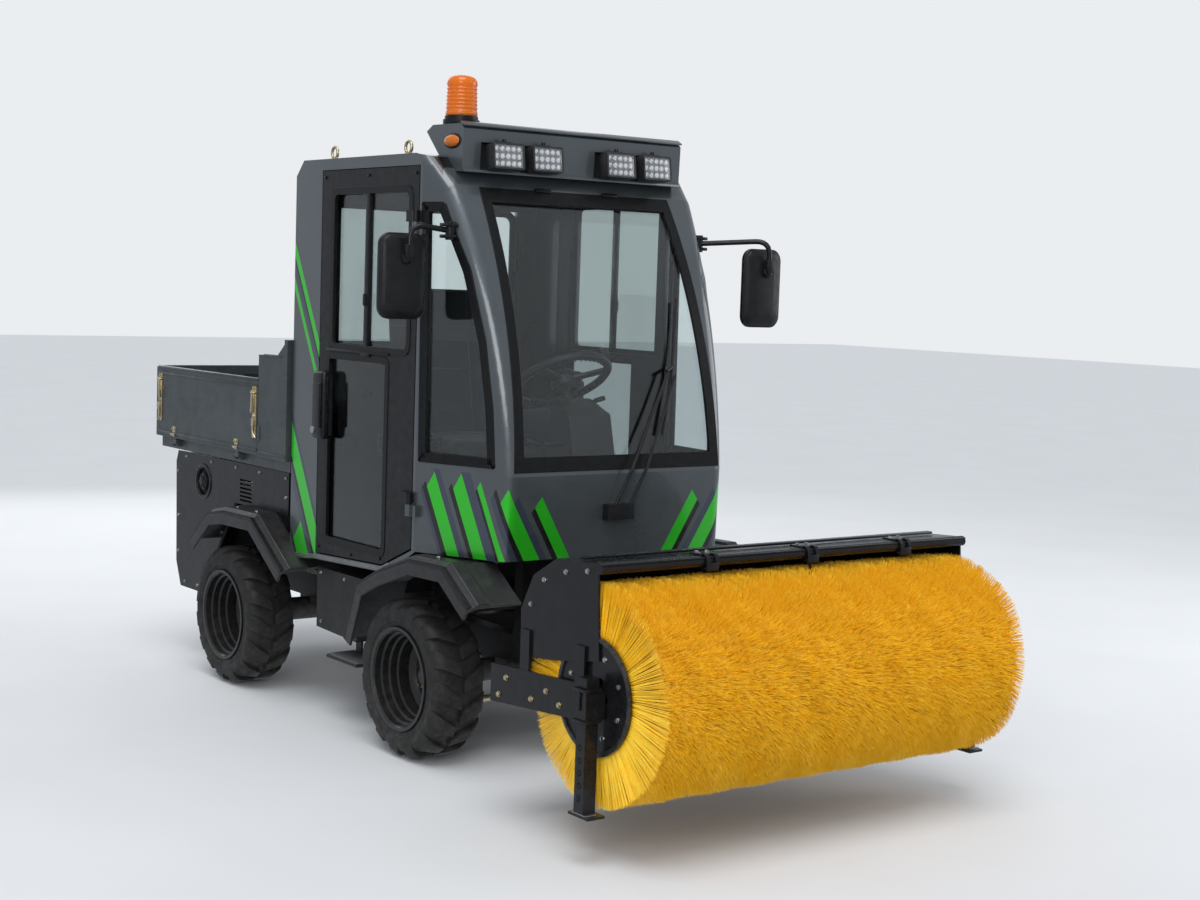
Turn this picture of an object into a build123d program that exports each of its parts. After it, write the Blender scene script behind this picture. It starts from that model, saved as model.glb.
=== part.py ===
from build123d import *
import math
import os

# Compact road sweeper: a narrow implement carrier with a tipping bed behind and a front roller brush.
# Lengths are millimetres. Stations y count from the front axle, forward is negative, up is +Z.
# The last step moves everything so that the middle of the whole length is y = 0.

# Driving dimensions of the carrier
WHEELBASE = 1440.0
WHEEL_R = 288.0
TYRE_WIDTH = 206.0
TRACK_HALF = 570.0
RIM_R = 177.0
KINGPIN_X = 430.0
KINGPIN_R = 14.0
SPINDLE_R = 30.0
STEER_ARM = 130.0
BALL_R = 8.5
BEAM_R = 42.0
REAR_BEAM_R = 48.0

# Driving dimensions of the cab
CAB_HALF = 582.0
CAB_REAR = 1018.0
CAB_TOP = 2161.0
BELT_Z = 1045.0
COWL_BOTTOM = 750.0
WALL = 40.0
COWL_REAR = 30.0
TAPER_START = 60.0
TAPER = 0.22
PILLAR_R = 55.0
GLASS = 6.0
GLASS_DEPTH = 10.0
DOOR_GAP = 6.0

# Driving dimensions of the chassis
RAIL_X = 260.0
RAIL_WIDTH = 60.0
RAIL_BOTTOM = 345.0
RAIL_TOP = 445.0
RAIL_FRONT = -330.0
REAR_OVERHANG = 690.0
PORTAL_Z = 860.0
PORTAL_DEPTH = 45.0

# Driving dimensions of the bed
BED_HALF = 600.0
BED_FRONT = 1035.0
BED_WING = 255.0
BED_FLOOR = 965.0
BED_RIM = 1280.0
BED_WALL = 22.0
BULKHEAD_RISE = 104.0
TIP_Z = 885.0
SIDE_PIN_R = 5.0

# Driving dimensions of the brush and its lift
BRUSH_R = 337.0
BRUSH_HALF = 765.0
BRUSH_LOW = 159.0
CORE_R = 90.0
DISC_R = 180.0
FOOT_Z = 150.0
ARM_LENGTH = 270.0
ARM_REST_DEG = 16.0
ARM_PIVOT = (-430.0, 380.0)
LINK_RISE = 180.0
LIFT_REACH = 170.0
PIVOT_R = 13.0
EYE_R = 11.0
SWIVEL_R = 20.0

# Fits: running parts turn with the first gap, resting parts stand apart by the second
RUNNING_GAP = 0.05
SEAT_GAP = 0.3
PANE_SHARE = 0.998

# Stations that follow from the dimensions above
FLANGE_R = RIM_R + 10
PANEL_X = CAB_HALF - 34
RAIL_REAR = WHEELBASE + REAR_OVERHANG
RAIL_INNER = RAIL_X - RAIL_WIDTH / 2
RAIL_OUTER = RAIL_X + RAIL_WIDTH / 2
PORTAL_TOP = PORTAL_Z + PORTAL_DEPTH
BED_REAR = RAIL_REAR + 181
BED_SIDE_FRONT = BED_FRONT + BED_WING
TIP_Y = RAIL_REAR + 35
TIP_CYL = (WHEELBASE + 60, RAIL_TOP + 37)
TIP_EYE = (WHEELBASE + 380, BED_FLOOR - 60)
SIDE_HINGES = (BED_SIDE_FRONT + 190, BED_REAR - 201)
TAIL_HINGES = (200 - BED_HALF, BED_HALF - 200)
SIDE_PIN_X = BED_HALF - 4
SIDE_PIN_Z = BED_FLOOR - 12
TAIL_PIN_Y = BED_REAR - 10
ARM_REST = math.radians(ARM_REST_DEG)
LINK_LOW = (ARM_PIVOT[0] - ARM_LENGTH * math.cos(ARM_REST), ARM_PIVOT[1] + ARM_LENGTH * math.sin(ARM_REST))
LINK_TOP = (LINK_LOW[0], LINK_LOW[1] + LINK_RISE)
LIFT_BASE = (ARM_PIVOT[0], 690.0)
SWIVEL_Y = LINK_LOW[0] - 60
BRUSH_Y = SWIVEL_Y - 220 - BRUSH_R
BRUSH_Z = BRUSH_LOW + BRUSH_R
SIDE_PLATE_X = BRUSH_HALF + 13
LEG_X = SIDE_PLATE_X + 43
LEG_Y = BRUSH_Y - 39
FRONT_END = BRUSH_Y - BRUSH_R
STATION_SHIFT = -(FRONT_END + BED_REAR) / 2


def up(share):
    """A height in the glazed part of the cab, as a share of the way from the belt line to the roof."""
    return BELT_Z + share * (CAB_TOP - BELT_Z)


# Outlines of the cab in side view (y, z) and front view (x, z)
FRONT_CURVE = ((-392.0, BELT_Z), (-290.0, up(0.4615)), (-60.0, up(0.9005)))
SILL = [(CAB_REAR, 585.0), (797.0, 606.0), (287.0, 628.0), (90.0, 712.0), (50.0, 735.0), (-372.0, COWL_BOTTOM)]
DOOR = [(81.0, 742.0), (287.0, 656.0), (797.0, 634.0), (797.0, CAB_TOP - 46), (81.0, CAB_TOP - 46)]
QUARTER = [
    (52.0, up(0.8378)),
    (-60.0, up(0.8378)),
    (-180.0, up(0.6281)),
    (-262.0, up(0.4229)),
    (-305.0, up(0.2159)),
    (-322.0, up(0.0269)),
    (40.0, up(0.0206)),
]
SCREEN = [
    (134 - CAB_HALF, up(0.0206)),
    (CAB_HALF - 134, up(0.0206)),
    (CAB_HALF - 164, up(0.888)),
    (164 - CAB_HALF, up(0.888)),
]
REAR_WINDOW = [
    (127 - CAB_HALF, up(0.336)),
    (CAB_HALF - 127, up(0.336)),
    (CAB_HALF - 127, up(0.8647)),
    (127 - CAB_HALF, up(0.8647)),
]
DOOR_WINDOWS = [
    # y0, y1, z0, z1 of the sliding pair and of the low pane
    (128.0, 716.0, up(0.3539), up(0.8925)),
    (274.0, 735.0, 690.0, up(0.3324)),
]
HINGE_X = CAB_HALF + 16
HINGE_Y = 74.0
HINGE_Z = (905.0, up(0.7796))
HINGE_R = 7.0

# Outlines of the body in side view (y, z)
FRONT_FENDER = [(-462.0, 620.0), (-290.0, 734.0), (-60.0, 728.0), (160.0, 655.0), (300.0, 590.0), (386.0, 371.0)]
REAR_FENDER = [
    (WHEELBASE - 535, 550.0),
    (WHEELBASE - 260, 727.0),
    (WHEELBASE + 26, 723.0),
    (WHEELBASE + 150, 700.0),
    (WHEELBASE + 315, 572.0),
]
SKIRT_BOX = [(398, 519), (503, 323), (820, 334), (823, 572), (398, 572)]
REAR_PANEL = [
    (CAB_REAR + 60, 915.0),
    (CAB_REAR + 60, 740.0),
    (WHEELBASE + 130, 740.0),
    (WHEELBASE + 452, 304.0),
    (RAIL_REAR - 20, 304.0),
    (RAIL_REAR + 30, 412.0),
    (RAIL_REAR + 42, 862.0),
    (RAIL_REAR + 20, 912.0),
]
FILLER = (WHEELBASE + 443, 798.0)

# Outline of the hood over the brush, from its front top edge to its rear low edge, in shares of the brush's radius
HOOD_SHAPE = [(-0.027, 1.181), (0.599, 1.145), (0.955, 0.947), (1.142, 0.605), (1.128, 0.157)]
HOOD = [(BRUSH_Y + a * BRUSH_R, BRUSH_Z + b * BRUSH_R) for a, b in HOOD_SHAPE]

# Roof and inside stations
LAMP_X = (-335.0, -165.0, 165.0, 335.0)
LAMP_LOW = CAB_TOP - 49
LAMP_HIGH = CAB_TOP + 39
BAR_TOP = CAB_TOP + 107
MIRROR_Z = up(0.6066)
MIRROR_ROOT_Z = up(0.7527)
SEAT_Z = 1010.0
WHEEL_SHAFT = ((0.0, -110.0, 1200.0), (0.0, -20.0, 1340.0))
SHAFT_R = 16.0


# Shared ways of making shapes
def side_plate(points, x0, x1):
    """A side-view outline of (y, z) points, thick from x0 to x1."""
    face = Plane.YZ.offset(x0) * Polygon(*points, align=None)
    return extrude(face, amount=x1 - x0, dir=(1, 0, 0))


def front_plate(points, y0, y1):
    """A front-view outline of (x, z) points, thick from y0 to y1."""
    face = Plane.XZ.offset(-y0) * Polygon(*points, align=None)
    return extrude(face, amount=y1 - y0, dir=(0, 1, 0))


def plan_plate(points, z0, z1):
    """A plan-view outline of (x, y) points, thick from z0 to z1."""
    face = Plane.XY.offset(z0) * Polygon(*points, align=None)
    return extrude(face, amount=z1 - z0, dir=(0, 0, 1))


def block(x0, x1, y0, y1, z0, z1):
    """A box between two corners."""
    centre = ((x0 + x1) / 2, (y0 + y1) / 2, (z0 + z1) / 2)
    return Pos(*centre) * Box(abs(x1 - x0), abs(y1 - y0), abs(z1 - z0))


def round_bar(start, end, radius):
    """A round bar between two points."""
    way = Vector(*end) - Vector(*start)
    plane = Plane(origin=start, z_dir=way)
    return extrude(plane * Circle(radius), amount=way.length)


def across(y, z, radius, x0, x1):
    """A round bar along X at (y, z)."""
    return round_bar((x0, y, z), (x1, y, z), radius)


def upright(x, y, z0, z1, radius):
    """A round bar along Z at (x, y)."""
    return round_bar((x, y, z0), (x, y, z1), radius)


def folded(points, depth):
    """The outline of a folded sheet: its outer bends and the same bends set in by depth."""
    inner = []
    count = len(points)
    for i, (y, z) in enumerate(points):
        before = points[max(i - 1, 0)]
        after = points[min(i + 1, count - 1)]
        normals = []
        for a, b in ((before, (y, z)), ((y, z), after)):
            run = math.hypot(b[0] - a[0], b[1] - a[1])
            if run > 0:
                normals.append(((b[1] - a[1]) / run, -(b[0] - a[0]) / run))
        ny = sum(n[0] for n in normals) / len(normals)
        nz = sum(n[1] for n in normals) / len(normals)
        scale = depth / (ny * ny + nz * nz)
        inner.append((y + ny * scale, z + nz * scale))
    return points + inner[::-1]


def grown(points, by):
    """An outline of (y, z) points moved away from its middle by about by on each axis."""
    cy = (min(p[0] for p in points) + max(p[0] for p in points)) / 2
    cz = (min(p[1] for p in points) + max(p[1] for p in points)) / 2
    return [(y + (by if y > cy else -by), z + (by if z > cz else -by)) for y, z in points]


def shrunk(points):
    """A pane's outline, drawn in towards its middle so that a small gap is left all round."""
    cy = sum(p[0] for p in points) / len(points)
    cz = sum(p[1] for p in points) / len(points)
    return [(cy + (y - cy) * PANE_SHARE, cz + (z - cz) * PANE_SHARE) for y, z in points]


def both_sides(shape):
    """A right-hand piece and its mirror image."""
    return [shape, mirror(shape, about=Plane.YZ)]


def turned(profile, x, y, z, outward):
    """A wheel-like form turned about X from (offset, radius) points, with its outside facing outward."""
    face = Plane.XZ * Polygon(*[(outward * a, r) for a, r in profile], align=None)
    return Pos(x, y, z) * revolve(face, Axis.X)


def link_plate(start, end, width, x0, x1):
    """A straight link with round ends between two (y, z) pivots."""
    length = math.hypot(end[0] - start[0], end[1] - start[1])
    ny = -(end[1] - start[1]) / length * width / 2
    nz = (end[0] - start[0]) / length * width / 2
    points = [
        (start[0] + ny, start[1] + nz),
        (end[0] + ny, end[1] + nz),
        (end[0] - ny, end[1] - nz),
        (start[0] - ny, start[1] - nz),
    ]
    plate = side_plate(points, x0, x1)
    for y, z in (start, end):
        plate += across(y, z, width / 2, x0, x1)
    return plate


def write(name, shape):
    """Writes one piece, moved from its station to the middle of the whole length."""
    solid = Part() + shape if isinstance(shape, list) else shape
    export_step(Pos(0, STATION_SHIFT, 0) * solid, f"parts/{name}.step")


# Wheels
def rim(x, y, outward):
    """A deep-dish rim with its hub boss, bored for the spindle."""
    half = TYRE_WIDTH / 2 + 1
    bore = SPINDLE_R + RUNNING_GAP
    well = RIM_R - 8
    profile = [
        (-half, RIM_R - 2),
        (-half, FLANGE_R),
        (-half + 7, FLANGE_R),
        (-half + 22, RIM_R),
        (half - 22, RIM_R),
        (half - 7, FLANGE_R),
        (half, FLANGE_R),
        (half, RIM_R - 2),
        (half - 7, well),
        (-40, well),
        (-50, 118),
        (-56, 66),
        (-24, 52),
        (-14, 44),
        (-14, 0),
        (-20, 0),
        (-20, bore),
        (-66, bore),
        (-66, 66),
        (-60, 118),
        (-52, well),
        (-half + 7, well),
    ]
    return turned(profile, x, y, WHEEL_R, outward)


def tyre(x, y, outward):
    """A tyre with rounded shoulders, seated on the rim's beads."""
    half = TYRE_WIDTH / 2
    bulge = (FLANGE_R + WHEEL_R) / 2 - 12
    profile = [
        (-half + 23, RIM_R),
        (-half + 5, FLANGE_R + 3),
        (-half, bulge),
        (-half + 3, WHEEL_R - 26),
        (-half + 19, WHEEL_R - 7),
        (-half + 43, WHEEL_R),
        (half - 43, WHEEL_R),
        (half - 19, WHEEL_R - 7),
        (half - 3, WHEEL_R - 26),
        (half, bulge),
        (half - 5, FLANGE_R + 3),
        (half - 23, RIM_R),
    ]
    return turned(profile, x, y, WHEEL_R, outward)


# Axles and steering
def front_axle():
    """A beam axle whose forked ends carry the kingpins."""
    beam = across(0, WHEEL_R, BEAM_R, 60 - KINGPIN_X, KINGPIN_X - 60)
    housing = [(-150, 0), (-150, BEAM_R), (-80, 84), (40, 84), (110, BEAM_R), (110, 0)]
    gears = turned(housing, 0, 0, WHEEL_R, 1)
    fork = block(KINGPIN_X - 75, KINGPIN_X - 50, -30, 30, WHEEL_R - 92, WHEEL_R + 92)
    for low in (-92, 64):
        z0 = WHEEL_R + low
        fork += block(KINGPIN_X - 74, KINGPIN_X, -30, 30, z0, z0 + 28)
        fork += upright(KINGPIN_X, 0, z0, z0 + 28, 30)
    fork -= upright(KINGPIN_X, 0, WHEEL_R - 100, WHEEL_R + 100, KINGPIN_R + RUNNING_GAP)
    return Part() + [beam, gears] + both_sides(fork)


def knuckle():
    """The right knuckle: kingpin, barrel, wheel spindle, brake flange and steering arm."""
    x = -KINGPIN_X
    pin = upright(x, 0, WHEEL_R - 92, WHEEL_R + 92, KINGPIN_R)
    barrel = upright(x, 0, WHEEL_R - 63.7, WHEEL_R + 63.7, 31)
    spindle = across(0, WHEEL_R, SPINDLE_R, -TRACK_HALF + 22.5, x)
    flange = across(0, WHEEL_R, 62, x - 62, x - 48)
    arm_z = WHEEL_R - 50
    arm_outline = [(x - 20, 0), (x + 20, 0), (x + 16, -STEER_ARM), (x - 16, -STEER_ARM)]
    arm = plan_plate(arm_outline, arm_z, arm_z + 18)
    ball = upright(x, -STEER_ARM, arm_z, arm_z + 18, 20)
    hole = upright(x, -STEER_ARM, arm_z - 6, arm_z + 24, BALL_R)
    return Part() + [pin, barrel, spindle, flange, arm, ball] - hole


def tie_rod():
    """The tie rod under the steering arms, with a ball pin at each end."""
    z = WHEEL_R - 74
    bar = across(-STEER_ARM, z, 12, -KINGPIN_X, KINGPIN_X)
    ends = []
    for x, play in ((-KINGPIN_X, RUNNING_GAP), (KINGPIN_X, SEAT_GAP)):
        ends.append(upright(x, -STEER_ARM, z - 15, z + 15, 18))
        ends.append(upright(x, -STEER_ARM, z, z + 49, BALL_R - play))
    return Part() + [bar] + ends


def rear_axle():
    """The driven beam axle with its spindles and brake flanges."""
    tube = TRACK_HALF - 90
    beam = across(WHEELBASE, WHEEL_R, REAR_BEAM_R, -tube, tube)
    housing = [(-170, 0), (-170, REAR_BEAM_R), (-90, 98), (50, 98), (130, REAR_BEAM_R), (130, 0)]
    gears = turned(housing, 0, WHEELBASE, WHEEL_R, 1)
    ends = []
    for side in (-1, 1):
        ends.append(across(WHEELBASE, WHEEL_R, SPINDLE_R, side * (tube - 10), side * (TRACK_HALF - 22.5)))
        ends.append(across(WHEELBASE, WHEEL_R, 62, side * (tube - 2), side * (tube + 12)))
    return Part() + [beam, gears] + ends


# Engine
def engine_block():
    """The engine on its mounts: sump, block, head and cover, bell housing, pulley, manifolds and alternator."""
    y0 = CAB_REAR + 32
    y1 = WHEELBASE - 15
    foot = RAIL_TOP + SEAT_GAP
    deck = foot + 250
    shaft_z = foot + 125
    engine = block(-150, 150, y0 + 30, y1 - 60, foot + 14, deck)
    engine += block(-105, 105, y0 + 85, y1 - 80, foot - 40, foot + 15)
    engine += block(-120, 120, y0 + 40, y1 - 72, deck, deck + 72)
    cover = block(-88, 88, y0 + 52, y1 - 84, deck + 60, PORTAL_Z - 14)
    engine += fillet(cover.edges(), 14)
    for y in (CAB_REAR + 72, WHEELBASE - 50):
        engine += block(-205, 205, y - 18, y + 18, foot, foot + 16)
    bell = round_bar((0, y1 - 61, shaft_z), (0, y1 - 22, shaft_z), 122)
    engine += bell + round_bar((0, y1 - 23, shaft_z), (0, y1, shaft_z), 108)
    engine += round_bar((0, y0 + 8, shaft_z), (0, y0 + 31, shaft_z), 72)
    engine += round_bar((0, y0, shaft_z), (0, y0 + 10, shaft_z), 26)
    for side, radius in ((-1, 24), (1, 30)):
        x = side * 176
        engine += round_bar((x, y0 + 60, deck + 30), (x, y1 - 90, deck + 30), radius)
        for k in range(3):
            y = y0 + 90 + 68 * k
            engine += round_bar((side * 119, y, deck + 30), (x, y, deck + 30), 16)
    engine += round_bar((-166, y0 + 34, deck - 70), (-166, y0 + 130, deck - 70), 46)
    return engine + block(-176, -148, y0 + 50, y0 + 110, deck - 110, deck - 50)


# Chassis
def chassis_frame():
    """Two box rails with cross members, axle saddles, cab posts, bed portals and the rear hitch plate."""
    frame = Part() + both_sides(block(-RAIL_OUTER, -RAIL_INNER, RAIL_FRONT, RAIL_REAR, RAIL_BOTTOM, RAIL_TOP))
    members = [
        # y0, y1, z0, z1 of each cross member
        (RAIL_FRONT, RAIL_FRONT + 50, RAIL_BOTTOM, RAIL_TOP),
        (230, 280, RAIL_BOTTOM, RAIL_TOP),
        (760, 810, RAIL_BOTTOM, RAIL_TOP),
        (CAB_REAR + 52, CAB_REAR + 92, RAIL_TOP - 50, RAIL_TOP),
        (WHEELBASE - 70, WHEELBASE - 30, RAIL_TOP - 50, RAIL_TOP),
        (TIP_CYL[0] - 25, TIP_CYL[0] + 25, RAIL_TOP - 50, RAIL_TOP),
        (RAIL_REAR - 12, RAIL_REAR, RAIL_BOTTOM - 45, RAIL_TOP),
    ]
    for y0, y1, z0, z1 in members:
        frame += block(-RAIL_INNER, RAIL_INNER, y0, y1, z0, z1)
    for y, tube in ((0, BEAM_R), (WHEELBASE, REAR_BEAM_R)):
        saddle = block(5 - RAIL_OUTER, -RAIL_INNER - 5, y - 45, y + 45, WHEEL_R, RAIL_BOTTOM)
        saddle -= across(y, WHEEL_R, tube, -RAIL_OUTER, -RAIL_INNER)
        frame += both_sides(saddle)
    for y0 in (-215, 330, CAB_REAR - 88):
        top = floor_under(y0, y0 + 50) - SEAT_GAP
        frame += both_sides(block(-RAIL_OUTER, -RAIL_INNER, y0, y0 + 50, RAIL_TOP, top))
    beam_half = PANEL_X - SEAT_GAP
    for y0 in (CAB_REAR + 82, RAIL_REAR - 50):
        frame += both_sides(block(-RAIL_OUTER, -RAIL_INNER, y0, y0 + 50, RAIL_TOP, PORTAL_Z))
        frame += block(-beam_half, beam_half, y0, y0 + 50, PORTAL_Z, PORTAL_TOP)
    start = RAIL_REAR - 1
    lug_outline = [(start, TIP_Z - 24), (TIP_Y, TIP_Z - 24), (TIP_Y, TIP_Z + 15), (start, TIP_Z + 15)]
    lug = side_plate(lug_outline, RAIL_X + 40, RAIL_X + 60) + across(TIP_Y, TIP_Z, 24, RAIL_X + 40, RAIL_X + 60)
    lug -= across(TIP_Y, TIP_Z, 14 + RUNNING_GAP, RAIL_X + 39, RAIL_X + 61)
    frame += both_sides(lug)
    frame += both_sides(Pos(50, 0, 0) * lug)
    y, z = TIP_CYL
    for x0 in (36, -50):
        ear = block(x0, x0 + 14, y - 22, y + 22, RAIL_TOP - 1, z)
        ear += across(y, z, 22, x0, x0 + 14)
        ear -= across(y, z, EYE_R + RUNNING_GAP, x0 - 1, x0 + 15)
        frame += ear
    for x in (-70, 70):
        for z in (RAIL_BOTTOM - 10, RAIL_BOTTOM + 70):
            frame -= round_bar((x, RAIL_REAR - 20, z), (x, RAIL_REAR + 5, z), 8.5)
    return frame


def lift_bracket():
    """The two front cheeks that carry the lift linkage, welded to a plate on the rail ends."""
    y, z = ARM_PIVOT
    top = LIFT_BASE[1]
    plate = block(-290, 290, RAIL_FRONT - 14, RAIL_FRONT - SEAT_GAP, RAIL_BOTTOM - 5, top + 25)
    opening = block(-120, 120, RAIL_FRONT - 20, RAIL_FRONT + 5, RAIL_TOP + 30, top - 45)
    bracket = plate - opening
    root = RAIL_FRONT - 13
    outline = [(root, z - 35), (y, z - 35), (y - 28, z), (y - 28, z + LINK_RISE), (y, top + 30), (root, top + 30)]
    for x0, x1 in ((-164, -150), (150, 164)):
        bracket += side_plate(outline, x0, x1)
    ears = block(36, 50, y, root, top - 30, top + 22) + across(y, top, 22, 36, 50)
    bracket += both_sides(ears)
    for height in (z, z + LINK_RISE):
        bracket -= across(y, height, PIVOT_R + RUNNING_GAP, -170, 170)
    bracket -= across(y, top, EYE_R + RUNNING_GAP, -60, 60)
    return bracket


# Cab body
def floor_under(y0, y1):
    """The height of the floor's underside over the stations y0 to y1."""
    heights = []
    for (ya, za), (yb, zb) in zip(SILL, SILL[1:]):
        for y in (y0, y1):
            if yb <= y <= ya:
                heights.append(za + (zb - za) * (ya - y) / (ya - yb))
    return min(heights)


def cab_form(inset):
    """The cab's outer form, or the same form set in by inset on every side but the floor."""
    (y1, z1), (y2, z2), (y3, z3) = FRONT_CURVE
    top = CAB_TOP - inset
    rear = CAB_REAR - inset
    nose = (-372 + inset, COWL_BOTTOM - 200)
    low = (y1 + inset, z1)
    middle = (y2 + inset, z2)
    high = (y3 + inset * 1.12, z3)
    with BuildPart() as form:
        with BuildSketch(Plane.YZ.offset(-700)):
            with BuildLine():
                Line(nose, low)
                ThreePointArc(low, middle, high)
                Polyline(high, (45 + inset, top - 12), (110 + inset, top), (rear - 60, top), (rear, top - 60))
                Polyline((rear, top - 60), (rear, nose[1]), nose)
            make_face()
        extrude(amount=1400)
    half = CAB_HALF - inset
    front_half = half - TAPER * (TAPER_START + 480)
    plan = [
        (-half, rear + 5),
        (-half, TAPER_START),
        (-front_half, -480),
        (front_half, -480),
        (half, TAPER_START),
        (half, rear + 5),
    ]
    return form.part & plan_plate(plan, 500, CAB_TOP + 140)


def rounded_form():
    """The cab's outer form with its two front corners rounded into pillars."""
    form = cab_form(0)
    corners = []
    for edge in form.edges():
        middle = edge.center()
        rise = edge.bounding_box().size.Z
        if abs(middle.X) > CAB_HALF - 200 and middle.Y < TAPER_START and rise > 60:
            corners.append(edge)
    return fillet(corners, PILLAR_R)


def above_sill(lift):
    """Everything above the sill line, raised by lift."""
    points = [(y, z + lift) for y, z in SILL]
    points = [(1200, points[0][1])] + points + [(-600, points[-1][1]), (-600, CAB_TOP + 240), (1200, CAB_TOP + 240)]
    return side_plate(points, -700, 700)


def cab_pieces(outer):
    """The cab split where its real panels meet: frame, cowl, roof, floor and glass."""
    body = outer & above_sill(0)
    door_hole = side_plate(grown(DOOR, DOOR_GAP), -700, 700)
    roof_cut = block(-700, 700, -200, 1200, CAB_TOP - 43, CAB_TOP + 140)
    cowl_cut = block(-700, 700, -600, COWL_REAR, 400, BELT_Z)
    roof = (outer - cab_form(12)) & roof_cut
    cowl = (body - cab_form(24)) & cowl_cut
    frame = body - cab_form(WALL) - door_hole - roof_cut - cowl_cut
    frame -= front_plate(SCREEN, -700, COWL_REAR + 10)
    frame -= side_plate(QUARTER, -700, 700)
    frame -= front_plate(REAR_WINDOW, CAB_REAR - 118, CAB_REAR + 82)
    pane = cab_form(GLASS_DEPTH) - cab_form(GLASS_DEPTH + GLASS)
    screen = pane & front_plate(shrunk(SCREEN), -700, COWL_REAR + 10)
    quarter = pane & side_plate(shrunk(QUARTER), -700, 700)
    rear = pane & front_plate(shrunk(REAR_WINDOW), CAB_REAR - 118, CAB_REAR + 82)
    floor = (cab_form(WALL + SEAT_GAP) - above_sill(30)) & above_sill(0)
    return frame, cowl, roof, floor, [screen, quarter, rear]


def door(outer):
    """The right door: a framed panel with its two window openings, handle and hinge knuckles."""
    leaf = (outer - cab_form(WALL)) & side_plate(DOOR, -700, WALL - CAB_HALF)
    for y0, y1, z0, z1 in DOOR_WINDOWS:
        leaf -= block(-700, -300, y0, y1, z0, z1)
    face = -CAB_HALF
    for z in HINGE_Z:
        leaf += block(face - 14, face + 0.7, HINGE_Y + 6, HINGE_Y + 70, z + 2, z + 42)
        leaf += upright(-HINGE_X, HINGE_Y, z + 2, z + 42, 13)
        leaf -= upright(-HINGE_X, HINGE_Y, z - 3, z + 47, HINGE_R + RUNNING_GAP)
    case_z = BELT_Z + 55
    leaf += block(face - 12, face + 1, 690, 790, case_z, case_z + 235)
    leaf += block(face - 40, face - 28, 705, 735, case_z + 30, case_z + 200)
    for z in (case_z + 30, case_z + 180):
        leaf += block(face - 40, face, 705, 735, z, z + 20)
    return leaf


def hinge_pins():
    """The cab side of the right door's lift-off hinges: leaf, lower knuckle and pin."""
    pins = []
    for z in HINGE_Z:
        leaf = block(-CAB_HALF - 14, -CAB_HALF + 8, HINGE_Y - 42, HINGE_Y - 2, z - 42, z - 2)
        ring = upright(-HINGE_X, HINGE_Y, z - 42, z, 13)
        pin = upright(-HINGE_X, HINGE_Y, z - 2, z + 38, HINGE_R)
        pins.append(leaf + ring + pin)
    return pins


def door_glass():
    """The right door's panes: two sliding ones that lap at the middle, and the low one."""
    x = -CAB_HALF
    y0, y1, z0, z1 = DOOR_WINDOWS[0]
    lap = (y0 + y1) / 2 + 22
    front = block(x + 10, x + 15, y0 + SEAT_GAP, lap + 8, z0 + SEAT_GAP, z1 - SEAT_GAP)
    back = block(x + 18, x + 23, lap - 8, y1 - SEAT_GAP, z0 + SEAT_GAP, z1 - SEAT_GAP)
    y0, y1, z0, z1 = DOOR_WINDOWS[1]
    low = block(x + 14, x + 20, y0 + SEAT_GAP, y1 - SEAT_GAP, z0 + SEAT_GAP, z1 - SEAT_GAP)
    return [front, back, low]


def screen_point(z, out):
    """The station on the windscreen's curve at height z, moved outwards by out."""
    (y1, z1), (y2, z2), (y3, z3) = FRONT_CURVE
    share = ((z - z1) * (z - z3)) / ((z2 - z1) * (z2 - z3))
    rise = ((z - z1) * (z - z2)) / ((z3 - z1) * (z3 - z2))
    base = ((z - z2) * (z - z3)) / ((z1 - z2) * (z1 - z3))
    return base * y1 + share * y2 + rise * y3 - out


def wiper():
    """The windscreen wiper, parked aslant: motor cover on the cowl, two parallel arms, link plate and blade."""
    foot_z = BELT_Z - 138
    foot_y = -372 - 20 * (foot_z - COWL_BOTTOM + 200) / (BELT_Z - COWL_BOTTOM + 200)
    cover = block(-70, 46, foot_y - 34, foot_y + 10, foot_z - 26, foot_z + 30) - cab_form(-SEAT_GAP)
    blade_low = (186.0, screen_point(up(0.12), 14), up(0.12))
    blade_high = (330.0, screen_point(up(0.56), 14), up(0.56))
    middle_z = up(0.34)
    middle = (258.0, screen_point(middle_z, 14), middle_z)
    wiper_parts = [cover]
    for x in (-45.0, 20.0):
        foot = (x, foot_y - 24, foot_z)
        knee = (x + 70, screen_point(BELT_Z, 34), BELT_Z + 15)
        hand = (middle[0] - 34 + (x + 45) * 0.5, middle[1] - 20, middle[2] - 20 - (x + 45) * 0.2)
        wiper_parts += [round_bar(foot, knee, 6), Pos(*knee) * Sphere(6), round_bar(knee, hand, 6)]
    wiper_parts.append(round_bar((middle[0] - 44, middle[1] - 20, middle[2] - 16), middle, 7))
    wiper_parts += [round_bar(blade_low, middle, 7), Pos(*middle) * Sphere(7), round_bar(middle, blade_high, 7)]
    return Part() + wiper_parts


# Body panels
def fender(points, x0, x1):
    """A right-hand angular mudguard: a folded sheet with a deep outer lip."""
    sheet = side_plate(folded(points, 8), -x1, -x0)
    lip = side_plate(folded(points, 55), -x1, -x1 + 8)
    return sheet + lip


def fenders():
    """Front mudguards with their stand-offs to the floor, and rear ones against the side panels."""
    outside = TRACK_HALF + 110
    front = fender(FRONT_FENDER, TRACK_HALF - 108, outside)
    top = floor_under(-240, -180) - SEAT_GAP
    front += block(66 - TRACK_HALF, 104 - TRACK_HALF, -240, -180, 722, top)
    rear = fender(REAR_FENDER, PANEL_X + 12 + SEAT_GAP, outside)
    rear -= block(-CAB_HALF - 6, 0, CAB_REAR - 218, CAB_REAR + 8, 400, 800)
    return both_sides(front) + both_sides(rear)


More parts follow.
